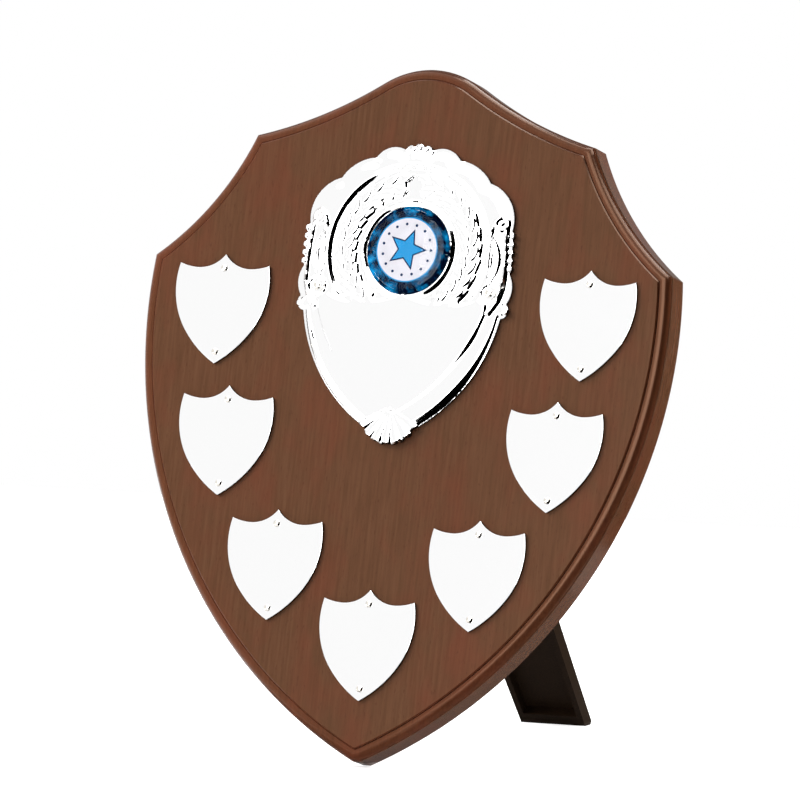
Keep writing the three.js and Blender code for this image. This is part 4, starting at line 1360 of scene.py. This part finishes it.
def makeRing():
    curve = bpy.data.curves.new("ring_path", "CURVE")
    curve.dimensions = "3D"
    curve.bevel_depth = hanger["wire"] / 2
    curve.bevel_resolution = 4
    reach = (hanger["ringWidth"] - hanger["wire"]) / 2
    straight = hanger["ringDrop"] - reach
    bend = hanger["ringBend"]
    bendTurns = (0, 0.5, 1.05, math.pi / 2)
    bowTurns = [math.pi * i / hanger["ringSteps"] for i in range(hanger["ringSteps"] + 1)]
    points = [(-reach + bend, 0), (reach - bend, 0)]
    points += [(reach - bend + bend * math.sin(t), -bend + bend * math.cos(t)) for t in bendTurns[1:]]
    points += [(reach * math.cos(t), -straight - reach * math.sin(t)) for t in bowTurns]
    points += [(-reach + bend - bend * math.cos(t), -bend + bend * math.sin(t)) for t in bendTurns[:3]]
    spline = curve.splines.new("POLY")
    spline.points.add(len(points) - 1)
    for point, (px, pz) in zip(spline.points, points):
        point.co = (px, 0, pz, 1)
    spline.use_cyclic_u = True
    path = bpy.data.objects.new("ring_path", curve)
    bpy.context.scene.collection.objects.link(path)
    mesh = bpy.data.meshes.new_from_object(path)
    bpy.data.objects.remove(path)
    bm = bmesh.new()
    bm.from_mesh(mesh)
    bpy.data.meshes.remove(mesh)
    plumb = Matrix.Rotation(math.radians(stance["lean"]), 4, "X")
    newPiece("wire_ring", bm, hangerAt @ plumb, [zincMaterial], "ring", ["hanger_ring"])


makeStrap()
makeRing()
hangerScrewAt = at(0, bracket["gap"] + hanger["strapThickness"] + plate["gap"],
                   stance["hangerHeight"] - hanger["screwDrop"])
makeScrew("domed_screw", "hanger_screw", hangerScrewAt, True, screw["length"] - bracket["plate"])
print("hanger made")


# Studio: white floor and surroundings, soft lamps, and cards that only shiny surfaces mirror.
# Azimuths turn from the front towards the right; a lamp is (azimuth, elevation, watts).
studio = {
    "floorSize": 1.7,
    "floorTone": 0.9,
    "floorGlow": 0.62,
    "ambient": 0.1,
    "lampDistance": 1.4,
    "lampSize": 0.8,
    "key": (-55, 38, 27),
    "rim": (145, 14, 50),
    "cardSteps": 16,
}
outer = (1.1, 0)
top = (1.1, 1.3)
ceiling = (0.25, 1.8)
# Each card's start and end as (radius, height) in metres, its azimuths and how much it glows
cards = {
    "dark": (outer, top, (31, 165), 0),
    "grey": (outer, top, (165, 230), 0.25),
    "bright": ((1.1, 0.1), top, (-12, 31), 6.5),
    "dark_floor": ((0.07, 0.001), (1.1, 0.001), (12, 215), 0),
    "pale_floor": ((0.07, 0.0012), (0.15, 0.0012), (60, 175), 0.42),
    "base": ((0.002, 0.0014), (0.1, 0.0014), (-60, 215), 0.2),
    "overhead": (top, ceiling, (-130, 60), 1.9),
    "shoulder": (top, ceiling, (60, 185), 8.0),
    "grey_ceiling": (top, ceiling, (185, 230), 0.25),
    "zenith": (ceiling, (0.002, 1.8), (-180, 180), 8.0),
}


def towards(azimuth, elevation):
    turn = math.radians(azimuth)
    lift = math.radians(elevation)
    return Vector((math.sin(turn) * math.cos(lift), -math.cos(turn) * math.cos(lift), math.sin(lift)))


def stagePiece(name, bm, material):
    item = newObject(name, bm, [material])
    return item


# A card swept round the object from one azimuth to another
def sweptCard(name, start, end, azimuths, glow):
    bm = bmesh.new()
    verts = [bm.verts.new((0, -radius, height)) for radius, height in (start, end)]
    edge = bm.edges.new(verts)
    turnAll(bm, azimuths[0], "Z")
    bmesh.ops.spin(bm, geom=[edge, *verts], cent=(0, 0, 0), axis=(0, 0, 1), dvec=(0, 0, 0),
                   angle=math.radians(azimuths[1] - azimuths[0]), steps=studio["cardSteps"], use_merge=False)
    material, tree, shader = newMaterial(name)
    setInputs(tree, shader, {
        "Base Color": grey(0), "Roughness": 1.0, "Specular IOR Level": 0.0,
        "Emission Color": grey(1), "Emission Strength": glow,
    })
    card = stagePiece(name, bm, material)
    card.visible_camera = False
    card.visible_diffuse = False
    card.visible_transmission = False
    card.visible_shadow = False


def makeLamp(name, azimuth, elevation, power):
    lamp = bpy.data.lights.new(name, "AREA")
    lamp.shape = "SQUARE"
    lamp.size = studio["lampSize"]
    lamp.energy = power
    item = bpy.data.objects.new(name, lamp)
    item.location = towards(azimuth, elevation) * studio["lampDistance"]
    item.rotation_euler = (-item.location).to_track_quat("-Z", "Y").to_euler()
    item.visible_glossy = False
    item.visible_transmission = False
    bpy.context.scene.collection.objects.link(item)


def makeFloor():
    bm = bmesh.new()
    bmesh.ops.create_grid(bm, x_segments=1, y_segments=1, size=studio["floorSize"] / 2)
    material, tree, shader = newMaterial("White studio floor")
    lightPath = addNode(tree, "LightPath")
    glow = addNode(tree, "Math", {0: lightPath.outputs["Is Camera Ray"], 1: studio["floorGlow"]},
                   operation="MULTIPLY")
    setInputs(tree, shader, {
        "Base Color": grey(studio["floorTone"]), "Roughness": 0.9,
        "Emission Color": grey(1), "Emission Strength": glow.outputs[0],
    })
    stagePiece("studio_floor", bm, material)


# White where it is seen, mirrored or looked at through the dome, and a dim light for the rest
def makeWorld():
    world = bpy.data.worlds.new("White studio")
    bpy.context.scene.world = world
    world.use_nodes = True
    tree = world.node_tree
    lightPath = addNode(tree, "LightPath")
    seen = lightPath.outputs["Is Camera Ray"]
    for ray in ("Is Glossy Ray", "Is Transmission Ray"):
        seen = addNode(tree, "Math", {0: seen, 1: lightPath.outputs[ray]}, operation="MAXIMUM").outputs[0]
    # Light that reaches a matt surface through the dome stays at the ambient level
    beforeMatt = addNode(tree, "Math", {0: lightPath.outputs["Diffuse Depth"], 1: 0.5},
                         operation="LESS_THAN")
    seen = addNode(tree, "Math", {0: seen, 1: beforeMatt.outputs[0]}, operation="MULTIPLY")
    strength = addNode(tree, "MapRange", {
        "Value": seen.outputs[0], "To Min": studio["ambient"], "To Max": 1.0,
    })
    setInputs(tree, tree.nodes["Background"], {"Color": grey(1), "Strength": strength.outputs["Result"]})


makeFloor()
makeWorld()
makeLamp("key_softbox", *studio["key"])
makeLamp("rim_softbox", *studio["rim"])
for name, card in cards.items():
    sweptCard(f"{name}_card", *card)
print("studio made")


# Camera: long lens, from the front right and a little above
view = {
    "azimuth": 22.983,
    "elevation": 3.862,
    "roll": 1.263,
    "distance": 2.92465,
    "target": (-0.01579, -0.01665, 0.10782),
    "lens": 425.12,
    "sensor": 36,
    "clipEnd": 60,
}


def makeCamera():
    data = bpy.data.cameras.new("photo_camera")
    data.sensor_width = view["sensor"]
    data.lens = view["lens"]
    data.clip_end = view["clipEnd"]
    cam = bpy.data.objects.new("photo_camera", data)
    turn = (Matrix.Rotation(math.radians(view["azimuth"]), 4, "Z")
            @ Matrix.Rotation(math.radians(90 - view["elevation"]), 4, "X")
            @ Matrix.Rotation(math.radians(view["roll"]), 4, "Z"))
    place = Vector(view["target"]) + turn @ Vector((0, 0, view["distance"]))
    cam.matrix_world = Matrix.Translation(place) @ turn
    bpy.context.scene.collection.objects.link(cam)
    bpy.context.scene.camera = cam


makeCamera()
bpy.context.scene.view_settings.view_transform = "Standard"

print("scene made")
